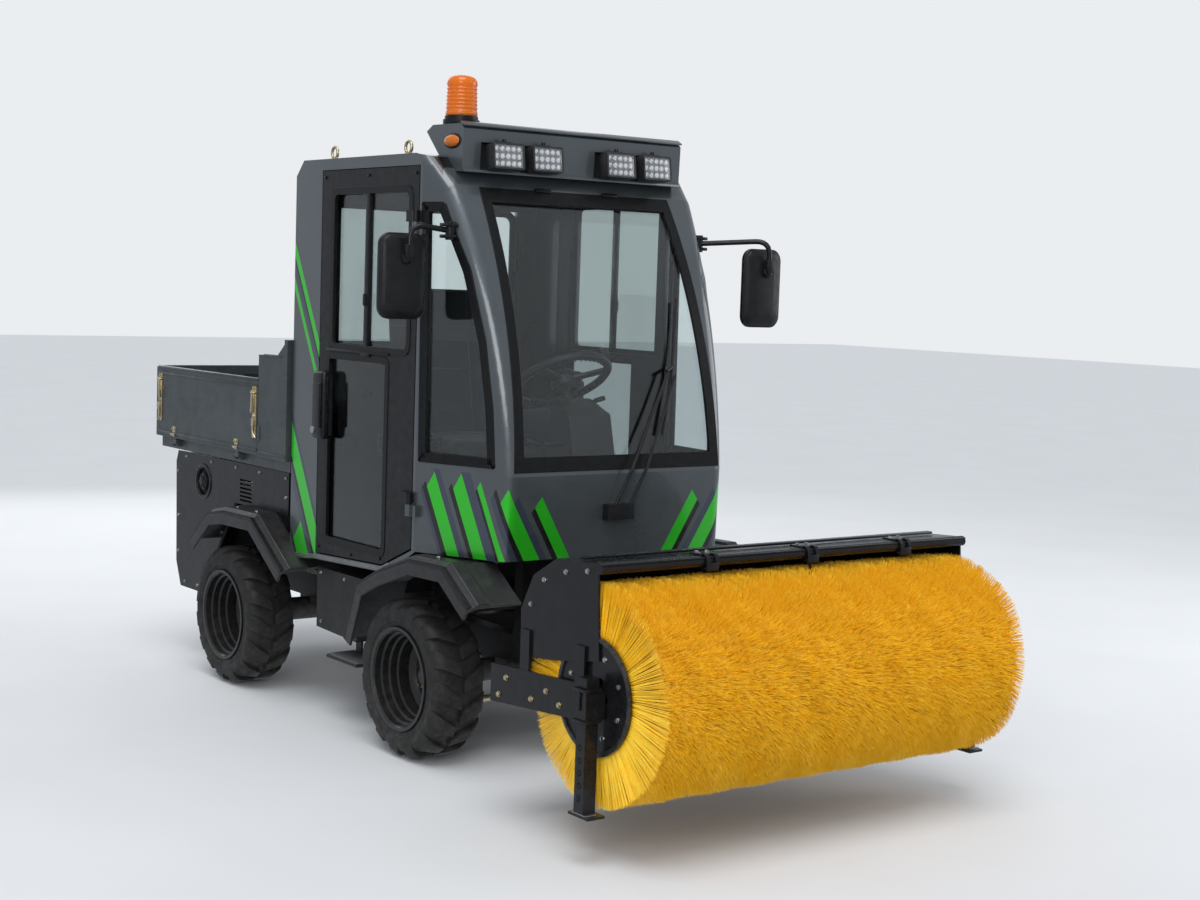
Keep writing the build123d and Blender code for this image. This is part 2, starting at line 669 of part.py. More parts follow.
def side_box():
    """The right skirt box between the wheels, with its folding step underneath."""
    box = side_plate(SKIRT_BOX, -PANEL_X - 12, -RAIL_OUTER - SEAT_GAP)
    step = block(-580, -450, 459, 696, 234, 246)
    for y in (500, 620):
        step += block(-470, -460, y, y + 40, 240, 330)
    return box + step


def side_panel():
    """The right rear body panel with its vent slots and round filler port."""
    panel = side_plate(REAR_PANEL, -(PANEL_X + 12), -PANEL_X)
    for k in range(6):
        z = 754 + 17 * k
        panel -= block(-PANEL_X - 40, 40 - PANEL_X, WHEELBASE - 33, WHEELBASE + 84, z, z + 8)
    y, z = FILLER
    panel -= across(y, z, 70, -PANEL_X - 40, 40 - PANEL_X)
    cap = across(y, z, 70, -PANEL_X - 6, -PANEL_X) - across(y, z, 58, -PANEL_X - 7, -PANEL_X - 4)
    return panel + cap


def tail_panel():
    """The rear cross panel with its lamp housings and cooling slots."""
    half = PANEL_X - SEAT_GAP
    y0 = RAIL_REAR + SEAT_GAP
    panel = block(-half, half, y0, y0 + 10, RAIL_TOP + 7, PORTAL_Z - 2)
    for x0 in (48 - PANEL_X, PANEL_X - 168):
        panel += block(x0, x0 + 120, y0, y0 + 34, 470, 560)
    for k in range(12):
        z = 610 + 18 * k
        panel -= block(-230, 230, y0 - 5, y0 + 15, z, z + 9)
    return panel


# Cab inside
def seat_cushion():
    """The seat's cushion."""
    return fillet(block(-235, 235, 350, 765, SEAT_Z, SEAT_Z + 100).edges(), 30)


def seat_backrest():
    """The seat's backrest, leaning back."""
    rest = Pos(0, 860, SEAT_Z + 339.4) * Rot(-8, 0, 0) * Box(450, 95, 680)
    return fillet(rest.edges(), 30)


def seat_base():
    """The box under the seat, standing on the floor."""
    return block(-220, 220, 400, 860, floor_under(400, 860) + 20, SEAT_Z - SEAT_GAP)


def steering_column():
    """The console that rises from the floor to the steering wheel."""
    foot = [(-250, 776.2), (-30, 768.4)]
    outline = foot + [(-30, 900), (-60, 1180), (-20, 1262), (-60, 1290), (-190, 1240), (-250, 1000)]
    return side_plate(outline, -95, 95) + round_bar(WHEEL_SHAFT[0], WHEEL_SHAFT[1], SHAFT_R)


def steering_wheel():
    """The steering wheel: rim, three spokes and a hub cupped over the shaft."""
    start = Vector(*WHEEL_SHAFT[0])
    end = Vector(*WHEEL_SHAFT[1])
    way = (end - start).normalized()
    plane = Plane(origin=end + way * 20, x_dir=(1, 0, 0), z_dir=way)
    ring = plane * Torus(180, 15)
    hub = plane * (Pos(0, 0, -12) * Cylinder(45, 40))
    socket = plane * (Pos(0, 0, -26) * Cylinder(SHAFT_R + RUNNING_GAP, 26))
    spokes = []
    for angle in (90, 210, 330):
        spokes.append(plane * (Rot(0, 0, angle) * Pos(90, 0, -6) * Box(170, 34, 10)))
    return Part() + [ring, hub] + spokes - socket


# Roof equipment
def light_bar():
    """The roof lamp housing, shaped to the roof, with four lamp pockets in its face."""
    shape = [(-52, -63), (-58, 87), (-40, 105), (150, 107), (192, 85), (96, -11), (96, -63)]
    outline = [(y, CAB_TOP + z) for y, z in shape]
    bar = side_plate(outline, 92 - CAB_HALF, CAB_HALF - 92) - cab_form(-SEAT_GAP)
    for x in LAMP_X:
        bar -= block(x - 80, x + 80, -70, -14, LAMP_LOW - 4, LAMP_HIGH + 4)
    return bar


def work_lamps():
    """Four square work lamps seated in the bar's pockets."""
    lamps = []
    for x in LAMP_X:
        body = block(x - 75, x + 75, -78, -14 - SEAT_GAP, LAMP_LOW, LAMP_HIGH)
        lamps.append(fillet(body.edges().filter_by(Axis.Y), 12))
    return lamps


def beacon():
    """The amber beacon on its foot at the bar's right end."""
    profile = [(0, 0), (66, 0), (66, 34), (58, 40), (54, 150), (40, 172), (0, 178)]
    face = Plane.XZ * Polygon(*profile, align=None)
    return Pos(162 - CAB_HALF, 72, BAR_TOP + SEAT_GAP) * revolve(face, Axis.Z)


def mirror_unit(side, x, y):
    """A mirror head at (x, y) on its bent arm from the windscreen pillar."""
    head = fillet((Pos(x, y, MIRROR_Z) * Box(186, 60, 300)).edges(), 22)
    root = (side * (CAB_HALF - 20.5), -100.0, MIRROR_ROOT_Z)
    elbow = (side * (abs(x) - 10), y, MIRROR_ROOT_Z + 20)
    arm = round_bar(root, elbow, 11) + Pos(*elbow) * Sphere(11)
    drop = round_bar(elbow, (elbow[0], y, MIRROR_Z + 140), 11)
    foot = upright(root[0] + side * 2, root[1], root[2] - 30, root[2] + 30, 16)
    return head + arm + drop + foot


# Bed
def bed_floor():
    """The bed's floor with its runners, tipping hinge eyes, cylinder lugs and drop-side hinge lugs."""
    half = BED_HALF - BED_WALL - SEAT_GAP
    end = BED_REAR - BED_WALL - SEAT_GAP
    under = BED_FLOOR - 24
    floor = block(-half, half, BED_FRONT, end, BED_FLOOR - 25, BED_FLOOR)
    runner = block(-RAIL_X - 100, -RAIL_X - 40, BED_FRONT + 60, RAIL_REAR - 2, PORTAL_TOP + SEAT_GAP, under)
    edge = block(-half, -half + 40, BED_FRONT, end, BED_FLOOR - 44, under)
    eye = block(-RAIL_X - 88, -RAIL_X - 62, TIP_Y - 20, TIP_Y + 20, TIP_Z, under)
    eye += across(TIP_Y, TIP_Z, 22, -RAIL_X - 88, -RAIL_X - 62)
    eye += across(TIP_Y, TIP_Z, 14, -RAIL_X - 112, -RAIL_X - 38)
    floor += both_sides(runner + edge) + both_sides(eye)
    y, z = TIP_EYE
    for x0 in (36, -48):
        ear = [(y - 30, under), (y + 30, under), (y + 22, z - 15), (y - 22, z - 15)]
        floor += side_plate(ear, x0, x0 + 12)
    for y in SIDE_HINGES:
        for y0 in (y - 30, y + 18):
            lug = block(-SIDE_PIN_X, -half + 2, y0, y0 + 12, BED_FLOOR - 30, BED_FLOOR)
            lug += round_bar((-SIDE_PIN_X, y0, SIDE_PIN_Z), (-SIDE_PIN_X, y0 + 12, SIDE_PIN_Z), 10)
            floor += both_sides(lug)
        pin = round_bar((-SIDE_PIN_X, y - 29, SIDE_PIN_Z), (-SIDE_PIN_X, y + 29, SIDE_PIN_Z), SIDE_PIN_R)
        floor += both_sides(pin)
    for x in TAIL_HINGES:
        for x0 in (x - 30, x + 18):
            floor += block(x0, x0 + 12, end - 2, TAIL_PIN_Y, BED_FLOOR - 30, BED_FLOOR)
            floor += across(TAIL_PIN_Y, SIDE_PIN_Z, 10, x0, x0 + 12)
        floor += across(TAIL_PIN_Y, SIDE_PIN_Z, SIDE_PIN_R, x - 29, x + 29)
    return floor


def bed_bulkhead():
    """The bed's fixed front wall with its side wings."""
    foot = BED_FLOOR + SEAT_GAP
    low = BED_RIM + BULKHEAD_RISE
    high = low + 70
    front = block(-BED_HALF, BED_HALF, BED_FRONT, BED_FRONT + 25, foot, high)
    wing_end = BED_SIDE_FRONT - 4
    outline = [(BED_FRONT, foot), (wing_end, foot), (wing_end, low), (BED_FRONT + 90, low), (BED_FRONT, high)]
    wing = side_plate(outline, -BED_HALF, -BED_HALF + BED_WALL)
    return Part() + [front] + both_sides(wing)


def ribbed_wall(length, height):
    """A drop-side panel lying along X: a plain plate outside at -Y, stiffened inside by a rim and ribs."""
    wall = Pos(0, -4, height / 2) * Box(length, BED_WALL - 8, height)
    for z in (18, height - 18):
        wall += Pos(0, 0, z) * Box(length, BED_WALL, 36)
    ribs = max(3, round(length / 210))
    for k in range(ribs + 1):
        x = -length / 2 + 14 + k * (length - 28) / ribs
        wall += Pos(x, 0, height / 2) * Box(28, BED_WALL, height)
    return wall


def bed_side():
    """The right drop-side with its two hinge straps."""
    rear = BED_REAR - BED_WALL - 2
    bottom = BED_FLOOR + 5
    wall = ribbed_wall(rear - BED_SIDE_FRONT, BED_RIM - bottom)
    side = Pos(-BED_HALF + BED_WALL / 2, (rear + BED_SIDE_FRONT) / 2, bottom) * Rot(0, 0, -90) * wall
    x = -SIDE_PIN_X
    for y in SIDE_HINGES:
        side += block(x - 4, x + 4, y - 17, y + 17, SIDE_PIN_Z, bottom + 2)
        side += round_bar((x, y - 17, SIDE_PIN_Z), (x, y + 17, SIDE_PIN_Z), 9)
        side -= round_bar((x, y - 18, SIDE_PIN_Z), (x, y + 18, SIDE_PIN_Z), SIDE_PIN_R + RUNNING_GAP)
    return side


def tailgate():
    """The tailgate with its two hinge straps."""
    bottom = BED_FLOOR + 5
    wall = ribbed_wall(2 * BED_HALF - 4, BED_RIM - bottom)
    gate = Pos(0, BED_REAR - BED_WALL / 2, bottom) * Rot(0, 0, 180) * wall
    for x in TAIL_HINGES:
        gate += block(x - 17, x + 17, TAIL_PIN_Y - 4, TAIL_PIN_Y + 4, SIDE_PIN_Z, bottom + 2)
        gate += across(TAIL_PIN_Y, SIDE_PIN_Z, 9, x - 17, x + 17)
        gate -= across(TAIL_PIN_Y, SIDE_PIN_Z, SIDE_PIN_R + RUNNING_GAP, x - 18, x + 18)
    return gate


# Cylinders
def cylinder_pair(base, tip, barrel_length, rod_start, barrel_r, rod_r, eye_width):
    """A hydraulic cylinder's barrel and rod between two (y, z) eyes, drawn at rest."""
    length = math.hypot(tip[0] - base[0], tip[1] - base[1])
    way = ((tip[0] - base[0]) / length, (tip[1] - base[1]) / length)

    def at(s):
        return (0, base[0] + way[0] * s, base[1] + way[1] * s)

    half = eye_width / 2
    barrel = round_bar(at(18), at(barrel_length), barrel_r)
    barrel -= round_bar(at(44), at(barrel_length + 1), rod_r + RUNNING_GAP)
    barrel += across(base[0], base[1], 22, -half, half)
    barrel += across(base[0], base[1], EYE_R, -half - 22, half + 22)
    rod = round_bar(at(rod_start), at(length - 10), rod_r)
    rod += across(tip[0], tip[1], 20, -half, half)
    rod -= across(tip[0], tip[1], EYE_R, -half - 1, half + 1)
    return barrel, rod


# Lift linkage
def along_arm(reach):
    """The (y, z) point on the lower arms' line at a distance from their pivot, at rest."""
    return (ARM_PIVOT[0] - reach * math.cos(ARM_REST), ARM_PIVOT[1] + reach * math.sin(ARM_REST))


def lift_arms():
    """The lower pair of lift arms, joined by their pivot shafts and the cylinder's cross bar."""
    plates = both_sides(link_plate(ARM_PIVOT, LINK_LOW, 64, -146, -128))
    shaft = across(ARM_PIVOT[0], ARM_PIVOT[1], PIVOT_R, -166, 166)
    tip = across(LINK_LOW[0], LINK_LOW[1], PIVOT_R, -128, 128)
    bar_at = along_arm(LIFT_REACH + 44)
    bar = across(bar_at[0], bar_at[1], 14, -128, 128)
    ears = both_sides(link_plate(along_arm(LIFT_REACH), bar_at, 40, -42, -30))
    return Part() + plates + [shaft, tip, bar] + ears


def upper_link():
    """The upper pair of links that keeps the brush upright as it rises."""
    start = (ARM_PIVOT[0], ARM_PIVOT[1] + LINK_RISE)
    plates = both_sides(link_plate(start, LINK_TOP, 48, -118, -104))
    shafts = both_sides(across(start[0], start[1], PIVOT_R, -166, -104))
    return Part() + plates + shafts + [across(LINK_TOP[0], LINK_TOP[1], PIVOT_R, -118, 118)]


def lift_head():
    """The upright head at the front of the links, with the swivel pin's two eyes."""
    y, low = LINK_LOW
    high = LINK_TOP[1]
    head = Part() + both_sides(link_plate(LINK_LOW, LINK_TOP, 60, -98, -82))
    for z in (low + 8, high - 38):
        head += block(-83, 83, SWIVEL_Y, y - 14, z, z + 30)
        head += upright(0, SWIVEL_Y, z, z + 30, 42)
    head += block(-83, 83, y - 14, y, low + 8, high - 8)
    for z in (low, high):
        head -= across(y, z, PIVOT_R + RUNNING_GAP, -120, 120)
    head -= upright(0, SWIVEL_Y, low - 100, high + 100, SWIVEL_R + RUNNING_GAP)
    return head


# Brush
def brush_frame():
    """The swivelling frame: pin, centre beam, side plates, hood brackets and leg sleeves."""
    low = LINK_LOW[1]
    high = LINK_TOP[1]
    back = SWIVEL_Y - 50
    end = SIDE_PLATE_X + 1
    beam = block(-end, end, back - 80, back, 400, 480)
    beam -= block(21 - end, end - 21, back - 74, back - 6, 406, 474)
    frame = upright(0, SWIVEL_Y, low - 15, high + 15, SWIVEL_R) + beam
    for z0, z1 in ((low + 38.3, low + 52), (high - 52, high - 38.3)):
        frame += upright(0, SWIVEL_Y, z0, z1, 40)
        frame += block(-40, 40, back - 30, SWIVEL_Y, z0, z1)
    frame += block(-40, 40, back - 35, back - 15, 470, high - 38.6)
    outline = [
        (back + 22, 380),
        (back + 22, 502),
        (BRUSH_Y - 23, BRUSH_Z + 34),
        (BRUSH_Y - 67, BRUSH_Z + 24),
        (BRUSH_Y - 67, BRUSH_Z - 56),
        (BRUSH_Y + 25, BRUSH_Z - 79),
    ]
    side = side_plate(outline, -SIDE_PLATE_X - 10, -SIDE_PLATE_X)
    side += across(BRUSH_Y, BRUSH_Z, 52, -SIDE_PLATE_X - 15, -SIDE_PLATE_X)
    for y in (BRUSH_Y + BRUSH_R + 10, BRUSH_Y + 57):
        side += block(-SIDE_PLATE_X - 8, -SIDE_PLATE_X, y - 24, y + 24, BRUSH_Z - 6, BRUSH_Z + 144)
    sleeve = block(-LEG_X - 28, -LEG_X + 33.5, LEG_Y - 28, LEG_Y + 28, BRUSH_Z - 60, BRUSH_Z + 34)
    sleeve -= block(-LEG_X - 23.3, -LEG_X + 23.3, LEG_Y - 23.3, LEG_Y + 23.3, BRUSH_Z - 96, BRUSH_Z + 104)
    side += sleeve
    side -= across(BRUSH_Y, BRUSH_Z, 25 + RUNNING_GAP, -SIDE_PLATE_X - 20, -SIDE_PLATE_X + 5)
    return Part() + [frame] + both_sides(side)


def brush_hood():
    """The folded hood over the rear upper quarter of the brush, with its cheeks and front tube."""
    inner_x = SIDE_PLATE_X - SEAT_GAP
    sheet = side_plate(folded(HOOD, 5), -inner_x, inner_x)
    cheek_outline = HOOD + [(BRUSH_Y + 0.605 * BRUSH_R, BRUSH_Z + 72), (BRUSH_Y - 28, BRUSH_Z + 110)]
    cheek = side_plate(cheek_outline, -inner_x, -inner_x + 6)
    tube = across(HOOD[0][0] - 6, HOOD[0][1] - 14, 17, -inner_x, inner_x)
    return Part() + [sheet, tube] + both_sides(cheek)


def brush_rotor():
    """The brush core with its end discs and stub shafts."""
    core = across(BRUSH_Y, BRUSH_Z, CORE_R, -BRUSH_HALF, BRUSH_HALF)
    core -= across(BRUSH_Y, BRUSH_Z, CORE_R - 8, -BRUSH_HALF, BRUSH_HALF)
    ends = []
    for side in (-1, 1):
        disc = across(BRUSH_Y, BRUSH_Z, DISC_R, side * BRUSH_HALF, side * (BRUSH_HALF + 5))
        for k in range(6):
            angle = math.radians(60 * k)
            y = BRUSH_Y + 56 * math.cos(angle)
            z = BRUSH_Z + 56 * math.sin(angle)
            disc -= across(y, z, 12, side * (BRUSH_HALF - 5), side * (BRUSH_HALF + 10))
        ends.append(disc)
        ends.append(across(BRUSH_Y, BRUSH_Z, 25, side * BRUSH_HALF, side * (SIDE_PLATE_X + 14)))
    return Part() + [core] + ends


def brush_bristles():
    """The bristle mass round the core."""
    mass = across(BRUSH_Y, BRUSH_Z, BRUSH_R, -BRUSH_HALF + SEAT_GAP, BRUSH_HALF - SEAT_GAP)
    return mass - across(BRUSH_Y, BRUSH_Z, CORE_R, -BRUSH_HALF, BRUSH_HALF)


def stand_leg():
    """The right parking leg with its foot plate."""
    leg = block(-LEG_X - 23, -LEG_X + 23, LEG_Y - 23, LEG_Y + 23, FOOT_Z, BRUSH_Z + 70)
    foot = block(-LEG_X - 27, -LEG_X + 36, LEG_Y - 55, LEG_Y + 45, FOOT_Z, FOOT_Z + 8)
    return leg + foot


os.makedirs("parts", exist_ok=True)
outer_form = rounded_form()
frame, cowl, roof, floor, glass = cab_pieces(outer_form)
bed_barrel, bed_rod = cylinder_pair(TIP_CYL, TIP_EYE, 470, 60, 34, 18, 60)
lift_barrel, lift_rod = cylinder_pair(LIFT_BASE, along_arm(LIFT_REACH), 225, 92, 26, 14, 50)

# Pieces on the middle line, or made for both sides at once
singles = {
    "chassis_frame": chassis_frame(),
    "lift_bracket": lift_bracket(),
    "front_axle": front_axle(),
    "rear_axle": rear_axle(),
    "engine_block": engine_block(),
    "cab_frame": [frame] + hinge_pins() + [mirror(p, about=Plane.YZ) for p in hinge_pins()],
    "front_cowl": cowl,
    "cab_roof": roof,
    "cab_floor": floor + seat_base(),
    "cab_glass": glass,
    "wiper": wiper(),
    "light_bar": light_bar(),
    "work_lamps": work_lamps(),
    "beacon": beacon(),
    "mirrors": [mirror_unit(-1, -705, -30), mirror_unit(1, 750, -270)],
    "fenders": fenders(),
    "side_boxes": both_sides(side_box()),
    "side_panels": both_sides(side_panel()),
    "tail_panel": tail_panel(),
    "seat_cushion": seat_cushion(),
    "seat_backrest": seat_backrest(),
    "steering_column": steering_column(),
    "steering_wheel": steering_wheel(),
    "tie_rod": tie_rod(),
    "bed_floor": bed_floor(),
    "bed_bulkhead": bed_bulkhead(),
    "tailgate": tailgate(),
    "bed_cylinder": bed_barrel,
    "bed_rod": bed_rod,
    "lift_arms": lift_arms(),
    "upper_link": upper_link(),
    "lift_head": lift_head(),
    "lift_cylinder": lift_barrel,
    "lift_rod": lift_rod,
    "brush_frame": brush_frame(),
    "brush_hood": brush_hood(),
    "brush_rotor": brush_rotor(),
    "brush_bristles": brush_bristles(),
}
for name, shape in singles.items():
    write(name, shape)

# Pieces made once on the right and mirrored for the left
handed = {
    "knuckle": [knuckle()],
    "door": [door(outer_form)],
    "door_glass": door_glass(),
    "bed_side": [bed_side()],
    "stand_leg": [stand_leg()],
}
for name, pieces in handed.items():
    write(f"{name}_right", pieces)
    write(f"{name}_left", [mirror(p, about=Plane.YZ) for p in pieces])

# Wheels, each turned about its own axle end
for end, y in (("front", 0.0), ("rear", WHEELBASE)):
    for side, sign in (("right", -1), ("left", 1)):
        write(f"{end}_rim_{side}", rim(sign * TRACK_HALF, y, sign))
        write(f"{end}_tyre_{side}", tyre(sign * TRACK_HALF, y, sign))
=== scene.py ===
# %% [markdown]
# A compact road sweeper: a narrow cab on four lugged wheels, a tipping bed behind, and in front
# a long roller brush on a lift linkage. The solids come from CAD and stay where they are. This
# lesson gives them their finishes, and adds what CAD leaves plain: tread, bristles, window
# rubbers, lamp lenses, bolts, cushions and trim.

import bmesh
import bpy
import math
import random
from mathutils import Matrix, Vector


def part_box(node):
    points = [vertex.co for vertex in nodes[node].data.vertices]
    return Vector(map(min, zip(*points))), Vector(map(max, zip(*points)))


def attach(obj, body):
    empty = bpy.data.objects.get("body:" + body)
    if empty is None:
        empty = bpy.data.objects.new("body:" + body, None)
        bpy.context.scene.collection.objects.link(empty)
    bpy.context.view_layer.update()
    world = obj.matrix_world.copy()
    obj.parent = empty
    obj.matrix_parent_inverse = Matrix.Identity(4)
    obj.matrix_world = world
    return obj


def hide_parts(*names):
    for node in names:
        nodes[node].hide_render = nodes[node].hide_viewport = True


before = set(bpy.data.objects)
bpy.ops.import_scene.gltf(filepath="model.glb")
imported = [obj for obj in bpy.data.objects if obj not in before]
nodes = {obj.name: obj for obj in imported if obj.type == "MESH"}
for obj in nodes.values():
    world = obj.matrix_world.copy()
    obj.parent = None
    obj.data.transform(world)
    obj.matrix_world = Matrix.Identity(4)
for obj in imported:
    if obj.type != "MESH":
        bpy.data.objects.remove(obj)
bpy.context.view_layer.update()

# %% [markdown]
# All lengths below are written in millimetres from the middle of the front axle, as a workshop
# drawing of a vehicle has them. One function turns them into Blender's metres, so the numbers
# stay readable and everything follows the CAD if the axle moves.

# %% Stations on the vehicle
MM = 0.001
SIDES = ((-1, "right"), (1, "left"))
low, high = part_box("front_axle")
AXLE_Y = (low[1] + high[1]) / 2


def station(x, y, z):
    """A point given in millimetres from the front axle, in Blender's metres."""
    return Vector((x * MM, AXLE_Y + y * MM, z * MM))


def middle(node):
    """The middle of a CAD node's box."""
    lowest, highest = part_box(node)
    return (Vector(lowest) + Vector(highest)) / 2


BRUSH_AXIS = middle("brush_bristles")
BRUSH_Y, BRUSH_Z = (BRUSH_AXIS.y - AXLE_Y) / MM, BRUSH_AXIS.z / MM
WHEELS = [f"{end}_{side}" for end in ("front", "rear") for _, side in SIDES]
WHEEL_AXES = {place: middle(place.replace("_", "_tyre_")) for place in WHEELS}
print("brush axis", tuple(BRUSH_AXIS), "wheels", len(WHEEL_AXES))

# %% [markdown]
# The camera stands at the photograph's viewpoint, at eye height in front of the right corner.
# It was worked out from straight edges of the vehicle. A longer lens than the photograph's only
# crops the same view, so the machine fills the frame without any change of perspective.

# %% Camera
def placed(name, data):
    """A new object of that data, in the scene."""
    thing = bpy.data.objects.new(name, data)
    bpy.context.scene.collection.objects.link(thing)
    return thing


eye = Vector((-4.0457, -6.0131, 1.712))
look_right = Vector((0.80242, -0.59580, 0.03381))
look_up = Vector((0.02526, 0.09053, 0.99557))
look_back = Vector((-0.59622, -0.79802, 0.08769))
camera_data = bpy.data.cameras.new("photo_camera")
camera_data.lens = 56
camera_data.sensor_width = 36
camera = placed("photo_camera", camera_data)
turn = Matrix((look_right, look_up, look_back)).transposed().to_4x4()
camera.matrix_world = Matrix.Translation(eye) @ turn
bpy.context.scene.camera = camera
print("camera at", tuple(eye))

# %% [markdown]
# The studio is a pale floor, a pale world, a wide soft sun and three large lamps. A large light
# gives soft shadow edges, as an overcast sky does in the photograph. The side lamp stands low
# and far to the side, where its mirror image misses the windscreen.


# %% Lamps
def soft_lamp(name, place, aim, power, size):
    """A square area lamp that points at aim, and isn't seen through the panes."""
    data = bpy.data.lights.new(name, "AREA")
    data.energy = power
    data.size = size
    lamp = placed(name, data)
    lamp.location = place
    lamp.visible_transmission = False
    lamp.rotation_euler = (Vector(aim) - Vector(place)).to_track_quat("-Z", "Y").to_euler()


soft_lamp("front_lamp", (-5.5, -6.0, 4.0), (0, -0.4, 1.0), 175, 3.5)
soft_lamp("side_lamp", (6.0, -2.5, 2.8), (0, 0, 1.0), 90, 3.5)
soft_lamp("back_lamp", (1.5, 6.0, 4.0), (0, 0.5, 1.0), 120, 6.5)

sun_data = bpy.data.lights.new("high_sun", "SUN")
sun_data.energy = 1.7
sun_data.angle = 0.7
sun = placed("high_sun", sun_data)
sun.rotation_euler = Vector((0.25, 0.3, -1.0)).to_track_quat("-Z", "Y").to_euler()
sun.visible_transmission = False
print("studio lights", [light.name for light in bpy.data.lights])

# %% [markdown]
# The world is brighter to the camera and through glass than it is as a light, so the backdrop
# is pale while the dark paint keeps its depth. It is a node tree, as every finish below is, so
# the helper that adds a node with its settings and inputs comes first.


# %% World
def new_node(tree, kind, inputs, **settings):
    """A new shader node with its settings, and its inputs set or linked."""
    node = tree.nodes.new(kind)
    for key, value in settings.items():
        setattr(node, key, value)
    for key, value in inputs.items():
        if isinstance(value, bpy.types.NodeSocket):
            tree.links.new(value, node.inputs[key])
        else:
            node.inputs[key].default_value = value
    return node


world = bpy.data.worlds.new("pale_room")
bpy.context.scene.world = world
world.use_nodes = True
sky = world.node_tree
sky.nodes.clear()
ray = new_node(sky, "ShaderNodeLightPath", {}).outputs
rays = {0: ray["Is Camera Ray"], 1: ray["Is Transmission Ray"]}
seen = new_node(sky, "ShaderNodeMath", rays, operation="MAXIMUM")
light = {"Color": (0.86, 0.92, 1.0, 1), "Strength": 0.55}
ambient = new_node(sky, "ShaderNodeBackground", light)
light = {"Color": (0.83, 0.85, 0.87, 1), "Strength": 1.0}
backdrop = new_node(sky, "ShaderNodeBackground", light)
choice = {0: seen.outputs[0], 1: ambient.outputs[0], 2: backdrop.outputs[0]}
either = new_node(sky, "ShaderNodeMixShader", choice)
new_node(sky, "ShaderNodeOutputWorld", {"Surface": either.outputs[0]})
bpy.context.scene.view_settings.view_transform = "Standard"
print("world nodes", len(sky.nodes))

# %% [markdown]
# A finish is one Principled shader with a few textures in front of it. The small class below
# keeps that short: it makes the material, adds nodes by kind, and has one method for each thing
# that real surfaces show, such as blotches of tone, uneven gloss, fine grain and road dust. All
# patterns read Object coordinates, so they keep their real size on every piece.


# %% Finishes
class Finish:
    """A material's Principled node and what is laid in front of it."""

    def __init__(self, name, colour, roughness, metallic=0.0, coat=0.0, specular=0.5):
        self.material = bpy.data.materials.new(name)
        self.material.use_nodes = True
        self.tree = self.material.node_tree
        self.shader = self.tree.nodes["Principled BSDF"]
        self.colour = (*colour, 1)
        self.give("Base Color", self.colour)
        self.give("Roughness", roughness)
        self.give("Metallic", metallic)
        self.give("Coat Weight", coat)
        self.give("Specular IOR Level", specular)
        self.give("Coat Roughness", 0.08)
        self.where = self.add("ShaderNodeTexCoord").outputs["Object"]

    def give(self, socket, value):
        """Sets an input of the shader, or links a socket to it."""
        if isinstance(value, bpy.types.NodeSocket):
            self.tree.links.new(value, self.shader.inputs[socket])
        else:
            self.shader.inputs[socket].default_value = value

    def add(self, kind, inputs=None, **settings):
        """A new node in front of the shader."""
        return new_node(self.tree, kind, inputs or {}, **settings)

    def noise(self, scale, detail=3.0, roughness=0.55, stretch=(1, 1, 1)):
        """A noise pattern of that many waves a metre, as its factor socket."""
        spread = self.add("ShaderNodeMapping", {"Vector": self.where, "Scale": stretch})
        inputs = {"Vector": spread.outputs[0], "Scale": scale}
        inputs |= {"Detail": detail, "Roughness": roughness}
        return self.add("ShaderNodeTexNoise", inputs).outputs["Fac"]

    def band(self, value, start, end, low=0.0, high=1.0):
        """A value brought from start..end to low..high and held there."""
        inputs = {"Value": value, "From Min": start, "From Max": end}
        inputs |= {"To Min": low, "To Max": high}
        return self.add("ShaderNodeMapRange", inputs).outputs[0]

    def math(self, kind, a, b=0.0):
        """One operation on two values or sockets."""
        return self.add("ShaderNodeMath", {0: a, 1: b}, operation=kind).outputs[0]

    def distance(self, a, b):
        """The length of a slope from its two sides."""
        squares = self.math("ADD", self.math("MULTIPLY", a, a), self.math("MULTIPLY", b, b))
        return self.math("SQRT", squares)

    def lay(self, colour, share):
        """Lays a colour over what is there, where share is 1."""
        inputs = {"Factor": share, 6: self.colour, 7: colour}
        self.colour = self.add("ShaderNodeMix", inputs, data_type="RGBA").outputs[2]
        self.give("Base Color", self.colour)
        return self

    def mottle(self, colour, scale, amount=1.0, detail=3.0, stretch=(1, 1, 1)):
        """Blotches of a second tone."""
        share = self.band(self.noise(scale, detail, stretch=stretch), 0.35, 0.7, 0.0, amount)
        return self.lay((*colour, 1), share)

    def dust(self, amount, top, bottom=0.0, colour=(0.30, 0.28, 0.25)):
        """Road dust that thins out with height."""
        height = self.add("ShaderNodeSeparateXYZ", {0: self.where}).outputs[2]
        fade = self.band(height, bottom, top, amount, 0.0)
        speck = self.band(self.noise(38, 6.0, 0.7), 0.38, 0.72, 0.15, 1.0)
        return self.lay((*colour, 1), self.math("MULTIPLY", fade, speck))

    def gloss(self, scale, low, high):
        """Uneven roughness."""
        share = self.band(self.noise(scale, 4.0), 0.3, 0.7, low, high)
        self.give("Roughness", share)
        return self

    def grain(self, scale, height, detail=2.0, stretch=(1, 1, 1)):
        """A bumpy surface, height in millimetres."""
        waves = self.noise(scale, detail, stretch=stretch)
        return self.bump(waves, height)

    def bump(self, pattern, height):
        """Bumps that follow a pattern, height in millimetres."""
        inputs = {"Height": pattern, "Strength": 1.0, "Distance": height * MM}
        self.give("Normal", self.add("ShaderNodeBump", inputs).outputs[0])
        return self


def paint(material, *names):
    """Gives CAD nodes a finish."""
    for name in names:
        nodes[name].data.materials.clear()
        nodes[name].data.materials.append(material)


print("finish tools ready")

# %% [markdown]
# The cab is painted in a dark graphite metallic: a nearly black grey with a little metal in it
# under a clear coat, which is what makes its rounded pillars catch a long bright line. Very
# fine waves in the coat keep the reflections from looking like a mirror's.

